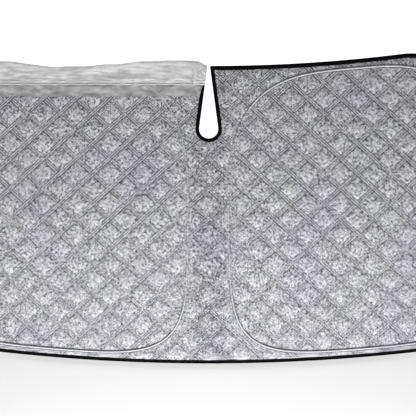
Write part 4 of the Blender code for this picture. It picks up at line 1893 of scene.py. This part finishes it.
@dataclass
class Studio:
    """Floor, lamps, world and the camera straight above."""

    lens: float = 85.0
    sensor: float = 36.0
    world_level: float = 0.20
    key_lamp: Lamp = Lamp("key_lamp", (0.0, -1.35, 0.80), (0.0, -0.1, 0.0), (2.4, 0.8), 49.0)
    rim_lamp: Lamp = Lamp("rim_lamp", (0.0, 2.4, 0.40), (0.0, 0.2, 0.0), (2.4, 0.3), 24.0)
    floor_lamp: Lamp = Lamp("floor_lamp", (0.0, 2.6, 0.70), (0.0, -0.3, 0.0), (0.9, 0.6), 135.0)
    floor_size: float = 8.0
    floor_colour: tuple = (0.50, 0.50, 0.50, 1.0)
    floor_glow: float = 0.90
    shadow_glow: float = 0.02
    white: tuple = (1.0, 1.0, 1.0, 1.0)
    nearness: float = 1.004
    aim: tuple = (-1.7 * MM, 1.5 * MM)
    floor_drop: float = 0.05 * MM

    def _floor(self) -> bpy.types.Object:
        """Make a white floor that keeps the shade's shadow.

        Returns:
            The floor.
        """
        sheet = NodeSheet("studio_floor")
        sheet.set("Base Color", self.floor_colour)
        sheet.set("Roughness", 0.9)
        sheet.set("Specular IOR Level", 0.1)
        seen = seen_directly(sheet.material.node_tree)
        aside, up = sheet.axes(sheet.place)
        lit = sheet.math("MAXIMUM", sheet.range(up, -0.40, -0.25), sheet.range(up, -1.1, -0.65, 1.0, 0.0))
        lit = sheet.math("MAXIMUM", lit, sheet.range(sheet.math("ABSOLUTE", aside), 0.62, 0.95))
        glow = sheet.math("MULTIPLY_ADD", lit, self.floor_glow, self.shadow_glow)
        sheet.set("Emission Color", self.white)
        sheet.set("Emission Strength", sheet.product(seen, glow))
        half, z = self.floor_size / 2, -self.floor_drop
        corners = np.array([(-half, -half, z), (half, -half, z), (half, half, z), (-half, half, z)])
        floor = mesh_piece("studio_floor", corners, [(0, 1, 2, 3)], sheet.material)
        return floor

    def rim_light(self, piece: bpy.types.Object) -> None:
        """Light the far side of a rounded piece softly from behind."""
        self.rim_lamp.build("rim_only", piece)

    def _world(self) -> bpy.types.World:
        """Make a world that is white to look at and dim as a light.

        Returns:
            The world.
        """
        world = bpy.data.worlds.new("studio_world")
        world.use_nodes = True
        tree = world.node_tree
        background = tree.nodes["Background"]
        background.inputs["Color"].default_value = self.white
        level = tree.nodes.new("ShaderNodeMath")
        level.operation = "MAXIMUM"
        level.inputs[1].default_value = self.world_level
        tree.links.new(seen_directly(tree), level.inputs[0])
        tree.links.new(level.outputs[0], background.inputs["Strength"])
        return world

    def build(self) -> None:
        """Set the stage."""
        scene = bpy.context.scene
        scene.view_settings.view_transform = "Standard"
        scene.world = self._world()
        floor = self._floor()
        self.key_lamp.build()
        self.floor_lamp.build("floor_only", floor)
        data = bpy.data.cameras.new("camera")
        data.lens = self.lens
        data.sensor_width = self.sensor
        camera = bpy.data.objects.new("camera", data)
        width = PHOTO_PIXELS * PHOTO_SCALE
        camera.location = (*self.aim, width * self.lens / self.sensor / self.nearness + 5 * MM)
        scene.collection.objects.link(camera)
        scene.camera = camera


def main() -> None:
    """Build the finish, piece by piece."""
    logging.basicConfig(level=logging.INFO, format="%(message)s")
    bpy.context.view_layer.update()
    plan, heights, lattice = ShadePlan(), Heights(), QuiltLattice()
    origin_y = plan.top - lattice.crossing_below_top

    studio = Studio()
    studio.build()
    foil = FoilFinish("quilted_foil", lattice, origin_y, strip_low=plan.strip_low, hem_y=plan.hem_y)
    front = QuiltedFront(plan, lattice, heights, foil)
    LOG.info("front: %s", front.build().name)
    # The channel's foil is a touch lighter than the quilt's: painted highlight along the channels.
    channel_foil = replace(foil, name="channel_foil", quilted=False, light=(0.76, 0.76, 0.79))
    channels = RingChannels(plan, heights, channel_foil)
    for piece in channels.build():
        LOG.info("channel: %s", piece.name)
    black = (0.0025, 0.0025, 0.003)
    tape_finish = ClothFinish("black_tape", black, 1.1 * MM, roughness=0.95, on_uv=True, specular=0.03)
    tapes = EdgeTapes(plan, heights, tape_finish)
    for piece in tapes.build():
        LOG.info("tape: %s", piece.name)
    lining = BackLining(plan, heights, ClothFinish("lining_cloth", (0.33, 0.33, 0.34), 1.2 * MM))
    LOG.info("lining: %s", lining.build().name)
    wrap = TopWrap(plan, heights, WrapFinish("pale_cloth"))
    folded = wrap.build()
    studio.rim_light(folded)
    LOG.info("wrap: %s", folded.name)
    for piece in Sewing(plan, heights, tapes, channels, wrap).build():
        LOG.info("stitches: %s", piece.name)
    steel = PlainFinish("spring_steel", (0.45, 0.45, 0.46), 0.35, 1.0).build()
    for node in ("left_ring", "right_ring"):
        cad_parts[node].data.materials.clear()
        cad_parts[node].data.materials.append(steel)


if __name__ == "__main__":
    main()
